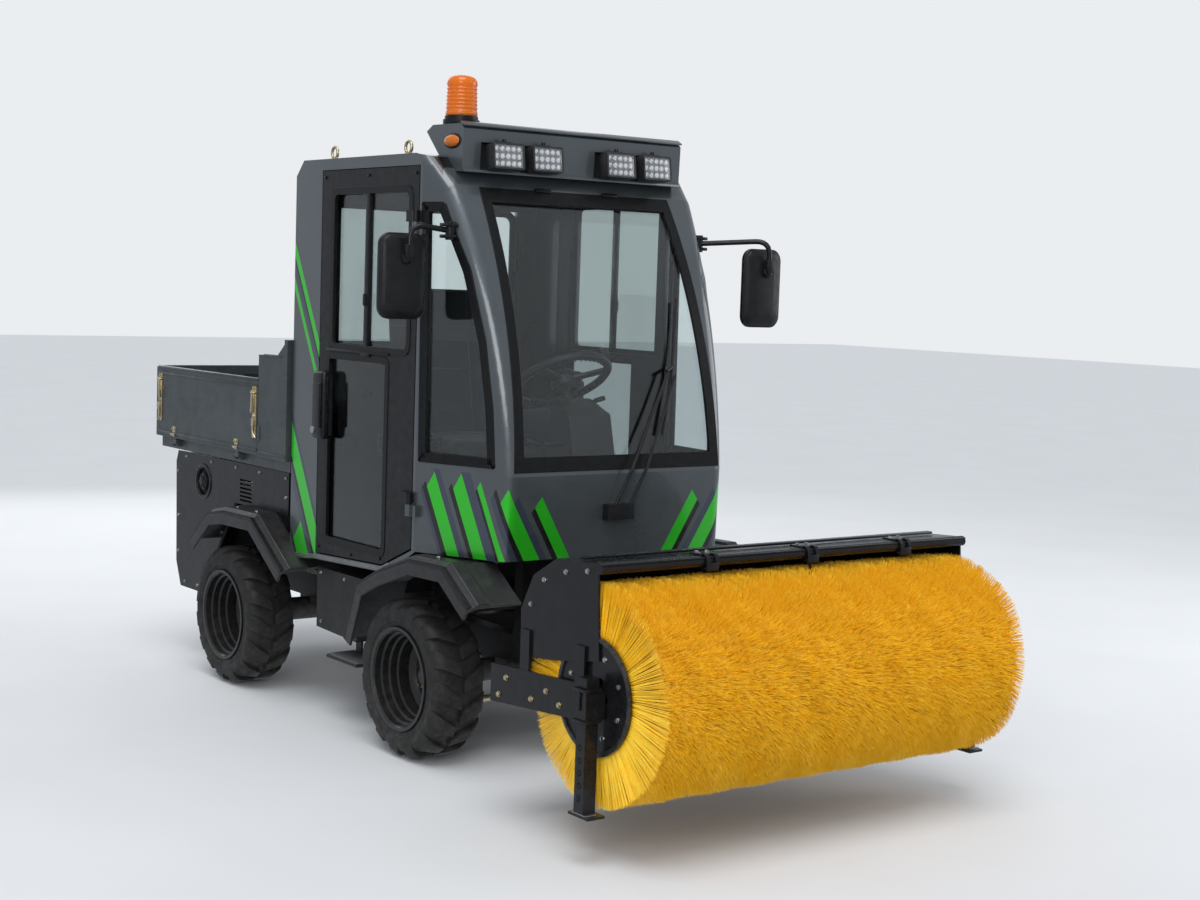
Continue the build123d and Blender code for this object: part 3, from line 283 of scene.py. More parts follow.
# %% Bar paint
def graphite(name):
    """The paint's base: dark grey with cloudy patches and fine metal flakes."""
    finish = Finish(name, (0.078, 0.091, 0.098), 0.34, metallic=0.5, coat=0.6)
    finish.mottle((0.064, 0.075, 0.081), 3.0)
    finish.mottle((0.116, 0.134, 0.142), 900, 0.35, 0.0)
    return finish


bar_finish = graphite("bar_paint")
bar_finish.gloss(9, 0.28, 0.4)
bar_finish.grain(240, 0.02)
bar_paint = bar_finish.material
print("mixed", bar_paint.name)

# %% [markdown]
# The cab's own measures are read from its solids: the belt line under the windows, the roof, the
# side walls and the rear wall. The windscreen is bent to one arc that starts at the belt line,
# and three points on it give the arc's centre and radius.

# %% Measures of the cab
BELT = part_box("front_cowl")[1].z / MM
ROOF_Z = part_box("cab_roof")[1].z / MM
CAB_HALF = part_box("cab_roof")[1].x / MM
REAR_Y = (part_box("cab_frame")[1].y - AXLE_Y) / MM


def up(share):
    """A height in the glazed part of the cab, from the belt line to the roof."""
    return BELT + share * (ROOF_Z - BELT)


def arc_through(p, q, r):
    """The centre and radius of the circle through three (y, z) points."""
    ax, ay = q[0] - p[0], q[1] - p[1]
    bx, by = r[0] - p[0], r[1] - p[1]
    twice = 2 * (ax * by - ay * bx)
    ux = (by * (ax * ax + ay * ay) - ay * (bx * bx + by * by)) / twice
    uy = (ax * (bx * bx + by * by) - bx * (ax * ax + ay * ay)) / twice
    return p[0] + ux, p[1] + uy, math.hypot(ux, uy)


ARC_Y, ARC_Z, ARC_R = arc_through((-392, BELT), (-290, up(0.4615)), (-60, up(0.9005)))
print("belt line", round(BELT), "roof", round(ROOF_Z), "screen arc", round(ARC_R))

# %% [markdown]
# The cab wears slanted bands in bright green and slate. They are a plain set of different
# widths, which start on the nose, go round the corner and rise to the rear. One number for each
# point is enough for that: the distance along the body plus a share of the height. A colour
# ramp with hard steps turns that number into bands, and the ramp's alpha says how far each band
# reaches. On the side that the driver sees, the same paint is black trim.

# %% Banded paint
GREEN = (0.02, 0.56, 0.01)
SLATE = (0.045, 0.058, 0.088)
BLACK_BAND = (0.005, 0.005, 0.006)
NONE = (0.0, 0.0, 0.0)


def cab_paint(name, steps=(), pillars=False):
    """The cab's paint, black trim on its inner side, with slanted bands as (start, colour, cut)."""
    finish = graphite(name)
    axes = finish.add("ShaderNodeSeparateXYZ", {0: finish.where})
    y = finish.math("SUBTRACT", axes.outputs[1], AXLE_Y)
    z = axes.outputs[2]
    wide = finish.math("ABSOLUTE", axes.outputs[0])
    if steps:
        along = y if pillars else finish.math("ADD", finish.math("ADD", y, wide), 0.3)
        rise = finish.math("SUBTRACT", z, 0.6)
        number = finish.math("SUBTRACT", along, finish.math("MULTIPLY", rise, 0.55))
        cross = finish.math("ADD", along, finish.math("MULTIPLY", rise, 0.8))
        cross = finish.math("DIVIDE", cross, 1.3)
        ramp = finish.add("ShaderNodeValToRGB", {0: number})
        ramp.color_ramp.interpolation = "CONSTANT"
        stops = ramp.color_ramp.elements
        for k, (start, colour, cut) in enumerate(steps):
            stop = stops[k] if k < 2 else stops.new(start)
            stop.position = start
            stop.color = (*colour, cut)
        share = finish.math("LESS_THAN", cross, ramp.outputs["Alpha"])
        if pillars:
            share = finish.math("MULTIPLY", share, finish.math("GREATER_THAN", y, 0.8))
        finish.lay(ramp.outputs["Color"], share)
    ahead = finish.math("MAXIMUM", finish.math("SUBTRACT", 0.06, y), 0.0)
    side = finish.math("ADD", wide, finish.math("MULTIPLY", ahead, 0.22))
    outer = finish.math("GREATER_THAN", side, CAB_HALF * MM - 0.020)
    dy = finish.math("SUBTRACT", y, ARC_Y * MM)
    dz = finish.math("SUBTRACT", z, ARC_Z * MM)
    arc = finish.distance(dy, dz)
    limits = ((arc, ARC_R * MM - 0.020), (y, REAR_Y * MM - 0.018), (z, ROOF_Z * MM - 0.011))
    for value, limit in limits:
        outer = finish.math("MAXIMUM", outer, finish.math("GREATER_THAN", value, limit))
    lean = finish.math("MULTIPLY", finish.math("SUBTRACT", z, 0.55), 0.0404)
    nose = finish.math("LESS_THAN", finish.math("ADD", y, lean), -0.352)
    outer = finish.math("MAXIMUM", outer, nose)
    finish.lay((0.012, 0.012, 0.013, 1), finish.math("SUBTRACT", 1.0, outer))
    finish.dust(0.12, 1.2, 0.5)
    finish.gloss(9, 0.26, 0.38)
    finish.grain(240, 0.02)
    return finish.material


# %% Bands on the cowl and the pillars
cowl_steps = [
    (0.0, NONE, 0), (0.04, GREEN, 0.42), (0.09, BLACK_BAND, 0.42), (0.115, NONE, 0),
    (0.14, SLATE, 0.5), (0.17, GREEN, 0.55), (0.235, BLACK_BAND, 0.6), (0.26, SLATE, 0.6),
    (0.29, NONE, 0), (0.32, GREEN, 0.68), (0.35, BLACK_BAND, 0.68), (0.365, SLATE, 0.8),
    (0.42, GREEN, 0.78), (0.5, BLACK_BAND, 0.8), (0.525, NONE, 0), (0.55, SLATE, 0.92),
    (0.585, GREEN, 0.9), (0.66, BLACK_BAND, 0.92), (0.69, SLATE, 1.0), (0.71, NONE, 0),
]
pillar_steps = [
    (0.0, NONE, 0), (0.33, GREEN, 1.6), (0.36, BLACK_BAND, 1.6), (0.375, SLATE, 1.6),
    (0.395, NONE, 0), (0.41, GREEN, 1.6), (0.43, NONE, 0), (0.7, SLATE, 1.6),
    (0.725, GREEN, 1.6), (0.8, BLACK_BAND, 1.6), (0.82, SLATE, 1.6), (0.85, GREEN, 0.8),
    (0.95, BLACK_BAND, 1.6), (0.965, NONE, 0),
]
paint(cab_paint("banded_cowl_paint", cowl_steps), "front_cowl")
paint(cab_paint("banded_frame_paint", pillar_steps, True), "cab_frame")
paint(cab_paint("graphite_paint"), "cab_roof")
paint(bar_paint, "light_bar")
print("bands on the cowl", len(cowl_steps), "and on the pillars", len(pillar_steps))

# %% [markdown]
# Five more painted and moulded finishes cover most of the running gear: satin black enamel on
# the brush carrier, a duller black on the frame, grained black plastic on mirrors and controls,
# cast iron for axles and engine, and a grey powder coat on the bed. Each has its own scale of
# blotch and grain, and dust that gathers low down.

# %% Black, cast and grey finishes
enamel = Finish("black_enamel", (0.005, 0.005, 0.006), 0.24, coat=0.15, specular=0.22)
enamel.mottle((0.010, 0.010, 0.011), 14, 0.6)
enamel.dust(0.06, 0.7)
enamel.gloss(22, 0.18, 0.36)
enamel.grain(160, 0.02)
ENAMEL = enamel.material
paint(ENAMEL, "lift_bracket", "brush_frame", "brush_hood", "stand_leg_right", "stand_leg_left")
paint(ENAMEL, "lift_arms", "upper_link", "lift_head", "brush_rotor", "side_panels", "tail_panel")

frame_black = Finish("frame_black", (0.006, 0.006, 0.007), 0.38, specular=0.24)
frame_black.mottle((0.013, 0.0125, 0.012), 9)
frame_black.dust(0.14, 0.7)
frame_black.grain(220, 0.05)
paint(frame_black.material, "chassis_frame", "side_boxes")

moulded = Finish("moulded_black", (0.007, 0.007, 0.008), 0.38, specular=0.24)
moulded.mottle((0.012, 0.012, 0.013), 30)
moulded.dust(0.07, 0.8)
moulded.gloss(40, 0.3, 0.46)
moulded.grain(900, 0.04)
MOULDED = moulded.material
paint(MOULDED, "fenders", "mirrors", "steering_column", "wiper", "work_lamps", "steering_wheel")

casting = Finish("cast_iron", (0.03, 0.029, 0.028), 0.62, metallic=0.3)
casting.mottle((0.055, 0.05, 0.045), 26)
casting.dust(0.4, 0.7)
casting.grain(420, 0.12)
CASTING = casting.material
paint(CASTING, "front_axle", "rear_axle", "engine_block", "knuckle_right", "knuckle_left")

coat_grey = Finish("bed_grey", (0.056, 0.067, 0.072), 0.36, metallic=0.35, specular=0.3)
coat_grey.mottle((0.044, 0.053, 0.057), 5)
coat_grey.mottle((0.088, 0.1, 0.105), 60, 0.25, 6.0, (1, 0.15, 1))
coat_grey.dust(0.12, 1.4, 0.9)
coat_grey.gloss(12, 0.28, 0.46)
coat_grey.grain(300, 0.03)
paint(coat_grey.material, "bed_bulkhead", "bed_side_right", "bed_side_left")
paint(coat_grey.material, "tailgate", "bed_floor")
print("finishes so far", len(bpy.data.materials))

# %% [markdown]
# Metals are next: hard chrome on the two cylinder rods, grey enamel on the barrels, yellow zinc
# on small hardware, and the satin black of the wheels. Chrome is nearly pure reflection, so it
# only needs faint draw marks along it.

# %% Metal finishes
chrome = Finish("hard_chrome", (0.62, 0.63, 0.65), 0.09, metallic=1.0)
chrome.gloss(60, 0.06, 0.16)
paint(chrome.material, "bed_rod", "lift_rod")

barrel = Finish("barrel_grey", (0.27, 0.28, 0.29), 0.35, coat=0.2)
barrel.mottle((0.2, 0.2, 0.205), 24)
barrel.dust(0.4, 0.8)
paint(barrel.material, "bed_cylinder", "lift_cylinder")

zinc = Finish("yellow_zinc", (0.56, 0.46, 0.25), 0.3, metallic=1.0)
zinc.mottle((0.6, 0.53, 0.42), 90)
zinc.gloss(50, 0.22, 0.42)
ZINC = zinc.material
paint(ZINC, "tie_rod")

bright = Finish("bright_steel", (0.5, 0.5, 0.49), 0.3, metallic=1.0)
bright.mottle((0.36, 0.35, 0.33), 120)
BRIGHT = bright.material

wheel_black = Finish("wheel_black", (0.006, 0.006, 0.007), 0.24, coat=0.2, specular=0.3)
wheel_black.mottle((0.012, 0.012, 0.0115), 22)
wheel_black.dust(0.09, 0.6)
wheel_black.gloss(30, 0.22, 0.42)
paint(wheel_black.material, *[place.replace("_", "_rim_") for place in WHEELS])
print("finishes so far", len(bpy.data.materials))

# %% [markdown]
# Rubber, glass and coloured plastics. Tyre rubber is a dark warm grey with pale dust in it, and
# never black. The panes are clear glass with a slight smoke tint. Lenses are tinted the whole
# way through, which a transmissive shader with a strong base colour gives. Refracting glass
# stops the rays that ask for a lamp, so the cab behind it would be lit by luck and look grainy.
# For those rays alone a pane is swapped for a transparent shader of its own tint.

# %% Rubber and clear finishes
rubber = Finish("tyre_rubber", (0.009, 0.009, 0.009), 0.58, specular=0.25)
rubber.mottle((0.019, 0.018, 0.017), 18, 0.8, 6.0)
rubber.dust(0.16, 0.66)
rubber.gloss(26, 0.5, 0.75)
rubber.grain(500, 0.12)
RUBBER = rubber.material

seal = Finish("seal_rubber", (0.004, 0.004, 0.004), 0.34, specular=0.2)
seal.mottle((0.008, 0.008, 0.008), 60)
seal.grain(700, 0.03)
SEAL = seal.material


def clear(name, colour, roughness, see_through, index=1.45, lets_light=False):
    """A clear or tinted plastic or glass. Lamps shine through it where lets_light is set."""
    finish = Finish(name, colour, roughness)
    finish.give("Transmission Weight", see_through)
    finish.give("IOR", index)
    finish.mottle(tuple(c * 0.93 for c in colour), 4.0, 0.6)
    finish.grain(60, 0.001)
    if lets_light:
        path = finish.add("ShaderNodeLightPath").outputs
        share = finish.math("MAXIMUM", path["Is Shadow Ray"], path["Is Diffuse Ray"])
        open_air = finish.add("ShaderNodeBsdfTransparent", {"Color": (*colour, 1)}).outputs[0]
        inputs = {0: share, 1: finish.shader.outputs[0], 2: open_air}
        mixed = finish.add("ShaderNodeMixShader", inputs).outputs[0]
        surface = finish.tree.nodes["Material Output"].inputs["Surface"]
        finish.tree.links.new(mixed, surface)
    return finish.material


PANE = clear("screen_glass", (0.80, 0.86, 0.86), 0.0, 1.0, lets_light=True)
SMOKED = clear("smoked_glass", (0.42, 0.48, 0.47), 0.0, 1.0, lets_light=True)
AMBER = clear("amber_lens", (1.0, 0.25, 0.01), 0.16, 0.45)
RED = clear("red_lens", (0.6, 0.01, 0.01), 0.16, 0.5)
CLEAR_LENS = clear("clear_lens", (0.93, 0.94, 0.95), 0.05, 0.9)
paint(PANE, "cab_glass")
paint(SMOKED, "door_glass_right", "door_glass_left")

mirror_silver = Finish("mirror_silver", (0.86, 0.88, 0.9), 0.03, metallic=1.0)
mirror_silver.gloss(12, 0.02, 0.05)

mat_black = Finish("floor_mat", (0.02, 0.02, 0.021), 0.8)
mat_black.mottle((0.028, 0.027, 0.025), 30)
mat_black.grain(260, 0.12)
paint(mat_black.material, "cab_floor")
print("finishes so far", len(bpy.data.materials))

# %% [markdown]
# Nearly every added piece ends the same way: its mesh gets outward normals and a finish, and it
# is tied to the body that carries it. One function does that, so a piece can't be forgotten.
# Two more set a copy of a mesh, or a whole bmesh, into another one.


# %% Finish a piece
def as_mesh(mesh, name="stamp"):
    """A bmesh turned into mesh data."""
    data = bpy.data.meshes.new(name)
    mesh.to_mesh(data)
    mesh.free()
    return data


def finished(name, mesh, material, body, slot=None, smooth=30.0):
    """Makes an object of a bmesh, smooth but for edges sharper than that angle, on a body."""
    bmesh.ops.remove_doubles(mesh, verts=mesh.verts, dist=0.000002)
    bmesh.ops.recalc_face_normals(mesh, faces=mesh.faces)
    data = as_mesh(mesh, name)
    data.materials.append(material)
    data.shade_smooth()
    data.set_sharp_from_angle(angle=math.radians(smooth))
    piece = placed(name, data)
    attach(piece, body)
    return piece


def stamp(target, model, matrix):
    """Adds a copy of a mesh to a bmesh, placed by a matrix."""
    copy = model.copy()
    copy.transform(matrix)
    target.from_mesh(copy)
    bpy.data.meshes.remove(copy)


def join(target, part, matrix=None):
    """Adds a whole bmesh to another one."""
    model = as_mesh(part)
    stamp(target, model, matrix or Matrix.Identity(4))
    bpy.data.meshes.remove(model)


print("pieces can be finished")

# %% [markdown]
# These are the plain makers of the lesson: a turned shape, a ball, a face that is pulled up and a
# block with rounded edges. Nearly all the hardware on the machine is put together from them.


# %% Plain shapes
def tilt(angle):
    """A turn about the X axis."""
    return Matrix.Rotation(angle, 3, "X")


def aimed(way):
    """A turn that brings the Z axis into a direction."""
    return Vector(way).to_track_quat("Z", "Y").to_matrix().to_4x4()


def lathe(profile, steps, centre, axis="X", side=1):
    """A closed outline of (offset, radius) in millimetres, spun round an axis through centre."""
    mesh = bmesh.new()
    if axis == "X":
        points = [Vector((side * a * MM, 0, r * MM)) for a, r in profile]
        way = Vector((1, 0, 0))
    else:
        points = [Vector((r * MM, 0, a * MM)) for a, r in profile]
        way = Vector((0, 0, 1))
    verts = [mesh.verts.new(p) for p in points]
    geometry = verts + [mesh.edges.new((a, b)) for a, b in zip(verts, verts[1:] + verts[:1])]
    turn = {"cent": (0, 0, 0), "axis": way, "angle": math.tau}
    bmesh.ops.spin(mesh, geom=geometry, steps=steps, use_merge=True, **turn)
    bmesh.ops.translate(mesh, verts=mesh.verts, vec=centre)
    return mesh


def ball(mesh, radius, centre, around, rows, stretch=(1, 1, 1)):
    """Adds a ball or an egg to a bmesh, radius in metres."""
    turn = {"u_segments": around, "v_segments": rows, "radius": radius}
    made = bmesh.ops.create_uvsphere(mesh, **turn)["verts"]
    bmesh.ops.scale(mesh, vec=stretch, verts=made)
    bmesh.ops.translate(mesh, verts=made, vec=centre)
    return made


def raised(mesh, faces, height):
    """Pulls faces up along Z, and gives their new points and faces."""
    made = bmesh.ops.extrude_face_region(mesh, geom=list(faces))["geom"]
    points = [g for g in made if isinstance(g, bmesh.types.BMVert)]
    bmesh.ops.translate(mesh, verts=points, vec=(0, 0, height))
    return points, [g for g in made if isinstance(g, bmesh.types.BMFace)]


def bevelled(mesh, geometry, offset, affect, segments):
    """Rounds edges or corners of a bmesh, and gives the new faces."""
    how = {"affect": affect, "segments": segments, "profile": 0.5, "material": -1}
    return bmesh.ops.bevel(mesh, geom=geometry, offset=offset, **how)["faces"]


def slab(mesh, centre, size, bevel=0.0, turn_by=None, segments=2):
    """Adds a box with rounded edges, in millimetres, to a bmesh."""
    made = bmesh.ops.create_cube(mesh, size=1.0)["verts"]
    bmesh.ops.scale(mesh, vec=Vector(size) * MM, verts=made)
    if bevel:
        edges = list({e for v in made for e in v.link_edges})
        faces = bevelled(mesh, edges, bevel * MM, "EDGES", segments)
        made = list({v for f in faces for v in f.verts} | {v for v in made if v.is_valid})
    if turn_by:
        bmesh.ops.rotate(mesh, cent=(0, 0, 0), matrix=turn_by, verts=made)
    bmesh.ops.translate(mesh, verts=made, vec=centre)
    return made


print("plain shapes ready")

# %% [markdown]
# The tyres are implement tyres with chunky bars. One tyre is a carcass, spun from half a section
# outline with two ribs on each sidewall, and thirty bars. A bar starts as a flat grid, is given
# its height by an extrude and softer edges by a bevel, and is then laid on the crown: each point
# keeps its height above the tread while its place across and around goes onto the curved tyre.

# %% Tyres
TYRE_OUT = 286.5
TREAD_BASE = 267.0
BARS = 15


def tread_radius(across):
    """The carcass radius in millimetres at a place across the tread."""
    over = max(0.0, abs(across) - 62.0)
    return TREAD_BASE - 0.016 * over * over


def bar_model(side):
    """One tread bar on the crown of a tyre that turns about X, its middle at the top."""
    mesh = bmesh.new()
    bmesh.ops.create_grid(mesh, x_segments=6, y_segments=1, size=0.5)
    raised(mesh, mesh.faces, 1)
    rims = [e for e in mesh.edges if min(v.co.z for v in e.verts) > 0.5 and len(e.link_faces) == 2]
    rims = [e for e in rims if abs(e.calc_face_angle(0.0)) > 0.5]
    bevelled(mesh, rims, 0.09, "EDGES", 1)
    for vert in mesh.verts:
        share = vert.co.x + 0.5
        across = (3 + share * 98) * side
        width = 40 + 22 * share
        round_by = vert.co.y * width + 52 * share - 16
        base = tread_radius(across)
        if share > 0.999:
            base -= 14 * (1 - vert.co.z) + 2
        height = base - 5 + vert.co.z * (TYRE_OUT - TREAD_BASE + 5)
        angle = round_by / TREAD_BASE
        place = Vector((across, math.sin(angle) * height, math.cos(angle) * height))
        vert.co = place * MM
    return as_mesh(mesh)


def tyre(name, node, body):
    """A tyre with its sidewall ribs and two rows of bars."""
    centre = middle(node)
    half = [(80, 177.3), (97, 190), (100, 204), (102.5, 206), (102.5, 211), (101, 213)]
    half += [(102.5, 226), (103, 238), (99, 252), (88, 261)]
    half += [(62, TREAD_BASE), (20, TREAD_BASE + 0.8)]
    outline = [(-a, r) for a, r in half] + [(a, r) for a, r in reversed(half)]
    mesh = lathe(outline, 96, (0, 0, 0))
    for side in (-1, 1):
        bar = bar_model(side)
        for k in range(BARS):
            angle = math.tau * (k + (0.5 if side > 0 else 0.0)) / BARS
            stamp(mesh, bar, Matrix.Rotation(angle, 4, "X"))
    bmesh.ops.translate(mesh, verts=mesh.verts, vec=centre)
    piece = finished(name, mesh, RUBBER, body, "tyre_rubber", 35)
    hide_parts(node)
    return piece


for place in WHEELS:
    node, body = place.replace("_", "_tyre_"), place.replace("_", "_wheel_")
    made = tyre(f"lugged_tyre_{place}", node, body)
print("tyre faces", len(made.data.polygons))

# %% [markdown]
# Much of the trim starts as a flat drawing in millimetres that is laid onto a wall of the
# vehicle. One helper lays it there. Others draw a face with round corners and cut it to a ring,
# which is what a window rubber is before it is fitted. A modifier takes off the sharp edges.


# %% Flat drawings
def laid(mesh, place):
    """Moves every point of a flat mesh (a, b, height in millimetres) to where place puts it."""
    for vert in mesh.verts:
        vert.co = place(*vert.co)
    return mesh


def spread(points, by):
    """An outline with every point moved away from the middle by about by."""
    a0 = sum(p[0] for p in points) / len(points)
    b0 = sum(p[1] for p in points) / len(points)
    return [(a + math.copysign(by, a - a0), b + math.copysign(by, b - b0)) for a, b in points]


def oblong(a, b):
    """The corners of an oblong round the middle, from its half sizes."""
    return [(-a, -b), (a, -b), (a, b), (-a, b)]


def plate(points, corner, segments=5, base=0.0):
    """A flat face with round corners, in millimetres."""
    mesh = bmesh.new()
    mesh.faces.new([mesh.verts.new((a, b, base)) for a, b in points])
    bevelled(mesh, list(mesh.verts), corner, "VERTICES", segments)
    return mesh


def inset(mesh, band, depth=0.0):
    """Insets the first face of a flat mesh by band, and gives that face."""
    face = mesh.faces[:][0]
    how = {"thickness": band, "depth": depth, "use_even_offset": True, "use_boundary": True}
    bmesh.ops.inset_region(mesh, faces=[face], **how)
    return face


def ring(points, corner, band, depth, base=0.0, cuts=0):
    """A flat ring in millimetres: an outline with round corners, band wide and depth thick."""
    mesh = plate(points, corner, base=base)
    bmesh.ops.delete(mesh, geom=[inset(mesh, band)], context="FACES")
    if cuts:
        long_edges = [e for e in mesh.edges if e.calc_length() > 150]
        bmesh.ops.subdivide_edges(mesh, edges=long_edges, cuts=cuts, use_grid_fill=True)
    raised(mesh, mesh.faces, depth)
    return mesh


def softened(piece, width, segments=2):
    """Rounds the sharp edges of a finished piece by a modifier."""
    edge = piece.modifiers.new("soft_edges", "BEVEL")
    edge.width = width * MM
    edge.segments = segments
    edge.limit_method = "ANGLE"
    edge.angle_limit = math.radians(40)
    edge.harden_normals = False
    return piece


print("flat drawings ready")

# %% [markdown]
# Bent tubes make the mirror arms, hooks, handles, pins and piping. A circle is pushed along a
# line of points, and each corner of the line is first replaced by a curve, as a tube bender
# would leave it. The circle swings with the line, so the tube is as thick in a bend as before it.


# %% Tubes
def rounded_path(points, bend, steps=6):
    """A line of station points with each corner replaced by a curve of about that radius."""
    path = [Vector(points[0])]
    for three in zip(points, points[1:], points[2:]):
        before, corner, after = (Vector(p) for p in three)
        back, on = before - corner, after - corner
        start = corner + back.normalized() * min(bend, back.length * 0.45)
        end = corner + on.normalized() * min(bend, on.length * 0.45)
        for k in range(steps + 1):
            t = k / steps
            path.append(start * (1 - t) ** 2 + corner * 2 * t * (1 - t) + end * t * t)
    path.append(Vector(points[-1]))
    return path


def edges_of(loop):
    """The edges between the points of a loop."""
    touching = {e for v in loop for e in v.link_edges}
    return [e for e in touching if all(v in loop for v in e.verts)]


def tube(mesh, points, radius, bend=40.0, sides=16):
    """Adds a round tube along station points in millimetres to a bmesh."""
    path = [station(*p) for p in (rounded_path(points, bend) if len(points) > 2 else points)]
    last = (path[1] - path[0]).normalized()
    circle = {"cap_ends": True, "radius": radius * MM, "segments": sides}
    pose = Matrix.Translation(path[0]) @ aimed(last)
    made = bmesh.ops.create_circle(mesh, matrix=pose, **circle)["verts"]
    edges = edges_of(made)
    for k in range(1, len(path)):
        ahead = path[min(k + 1, len(path) - 1)] - path[k - 1]
        way = ahead.normalized() if k < len(path) - 1 else (path[k] - path[k - 1]).normalized()
        geometry = bmesh.ops.extrude_edge_only(mesh, edges=edges)["geom"]
        moved = [g for g in geometry if isinstance(g, bmesh.types.BMVert)]
        new_edges = [g for g in geometry if isinstance(g, bmesh.types.BMEdge)]
        edges = [e for e in new_edges if all(v in moved for v in e.verts)]
        swing = last.rotation_difference(way).to_matrix().to_4x4()
        step = Matrix.Translation(path[k]) @ swing @ Matrix.Translation(-path[k - 1])
        bmesh.ops.transform(mesh, matrix=step, verts=moved)
        last = way
    bmesh.ops.contextual_create(mesh, geom=edges)


print("tube bender ready")

# %% [markdown]
# A bolt head is a thin round washer, a hexagon and a chamfer, stacked. It has only a few faces,
# because well over a hundred of them are set on the machine, each turned a little further than
# the last.


# %% Bolts
def fastener(size):
    """A hexagon bolt head on its washer, standing on z = 0 and looking along +Z."""
    mesh = bmesh.new()
    parts = [(14, 1.1, 1.1, 0.16), (6, 0.95, 0.95, 0.55), (6, 0.95, 0.72, 0.1)]
    height = 0.0
    for sides, low_r, high_r, tall in parts:
        pose = Matrix.Translation((0, 0, (height + tall / 2) * size * MM))
        cone = {"radius1": low_r * size * MM, "radius2": high_r * size * MM}
        cone |= {"depth": tall * size * MM, "segments": sides}
        bmesh.ops.create_cone(mesh, cap_ends=True, matrix=pose, **cone)
        height += tall
    return as_mesh(mesh)


def bolts(name, spots, way, size, material, body):
    """Bolt heads at station points, all facing one way."""
    head = fastener(size)
    mesh = bmesh.new()
    for k, spot in enumerate(spots):
        roll = Matrix.Rotation(0.7 * k, 4, "Z")
        stamp(mesh, head, Matrix.Translation(station(*spot)) @ aimed(way) @ roll)
    return finished(name, mesh, material, body, None, 30)


print("bolts ready")

# %% [markdown]
# The roller brush is what this machine is for. Real brushes are stacks of rings with thousands
# of plastic bristles, slightly crimped, so they lean every way and show dark gaps between bright
# tips. Here one ring is a band of thin three-sided cones; five different rings are stamped side
# by side, each turned by chance. Last, slow waves bend the tips, which makes the clumps.

# %% Bristle finish
def bristle_finish(name, shaded_below):
    """Golden plastic bristles with painted shade towards their roots, below the given radius."""
    finish = Finish(name, (1.0, 0.66, 0.02), 0.42)
    spoke = finish.add("ShaderNodeSeparateXYZ", {0: finish.where})
    off_y = finish.math("SUBTRACT", spoke.outputs[1], BRUSH_AXIS.y)
    off_z = finish.math("SUBTRACT", spoke.outputs[2], BRUSH_AXIS.z)
    finish.mottle((1.0, 0.76, 0.06), 24)
    finish.mottle((0.95, 0.45, 0.01), 260, 0.7, 1.0)
    # Painted shade: the roots are laid darker, standing in for the shade deep between the bristles.
    root_shade = finish.band(finish.distance(off_y, off_z), shaded_below - 0.04, shaded_below, 0.95, 0.0)
    finish.lay((0.38, 0.13, 0.003, 1), root_shade)
    return finish.material


BRISTLE = bristle_finish("bristle_orange", 0.312)
FAN = bristle_finish("bristle_fan", 0.19)
print("bristle finishes", BRISTLE.name, FAN.name)

# %% Bristle rings
TIP_R = 0.3375
ROOT_R = 0.272
RING_WIDTH = 0.0142
chance = random.Random(11)


def bristle_ring(count, root, tip, width, lean, thick):
    """A band of bristles round the X axis, width wide, as a mesh to stamp with."""
    mesh = bmesh.new()
    for _ in range(count):
        angle = chance.uniform(0, math.tau)
        length = tip + chance.gauss(0, 0.0022) - root
        pose = Matrix.Rotation(angle, 4, "X")
        pose = pose @ Matrix.Translation((chance.uniform(-width, width) / 2, 0, root))
        for axis in "XY":
            pose = pose @ Matrix.Rotation(chance.gauss(0, lean), 4, axis)
        pose = pose @ Matrix.Translation((0, 0, length / 2))
        wide = thick * chance.uniform(0.8, 1.25)
        cone = {"radius1": wide, "radius2": wide * 0.3, "depth": length}
        bmesh.ops.create_cone(mesh, segments=3, matrix=pose, **cone)
    return as_mesh(mesh)


def waves(*parts):
    """A sum of sine waves."""
    return sum(math.sin(part) for part in parts)


def combed(mesh):
    """Bends the tips of a brush section in slow waves, stronger towards the tip."""
    for vert in mesh.verts:
        x, y, z = vert.co
        angle = math.atan2(y, z)
        share = max(0.0, (math.hypot(y, z) - ROOT_R) / (TIP_R - ROOT_R))
        across = waves(23 * x + 3 * angle, 61 * x - 5 * angle + 1.3, 9 * angle + 37 * x)
        around = waves(17 * x + 7 * angle + 0.6, 47 * x + 11 * angle, 140 * x + 2.1)
        stretch = 1 + share * 0.006 * math.sin(31 * x + 4 * angle)
        bent = Vector((x + share * 0.0028 * across, y * stretch, z * stretch))
        vert.co = tilt(share * 0.013 * around) @ bent


def bristle_piece(name, mesh, material):
    """A bmesh of bristles as a combed piece of the roller."""
    combed(mesh)
    bmesh.ops.translate(mesh, verts=mesh.verts, vec=BRUSH_AXIS)
    data = as_mesh(mesh, name)
    data.materials.append(material)
    piece = placed(name, data)
    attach(piece, "brush")
    return piece


print("bristle length", round((TIP_R - ROOT_R) / MM, 1), "mm")

# %% [markdown]
# The roller is made as four pieces side by side, so that none has too many faces. Its rings are
# set one ring's width apart, and the five kinds follow each other in turn.

# %% Roller
KINDS = 5
ring_models = [
    bristle_ring(1000, ROOT_R, TIP_R, RING_WIDTH, 0.10, 0.0014) for _ in range(KINDS)
]
BRISTLED_LENGTH = 1.5
ring_count = round(BRISTLED_LENGTH / RING_WIDTH)
first_x = -RING_WIDTH * (ring_count - 1) / 2
for part in range(4):
    mesh = bmesh.new()
    for k in range(part * ring_count // 4, (part + 1) * ring_count // 4):
        spun = Matrix.Rotation(chance.uniform(0, math.tau), 4, "X")
        shift = Matrix.Translation((first_x + k * RING_WIDTH, 0, 0))
        stamp(mesh, ring_models[k % KINDS], shift @ spun)
    bristle_piece(f"bristles_{part}", mesh, BRISTLE)
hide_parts("brush_bristles")
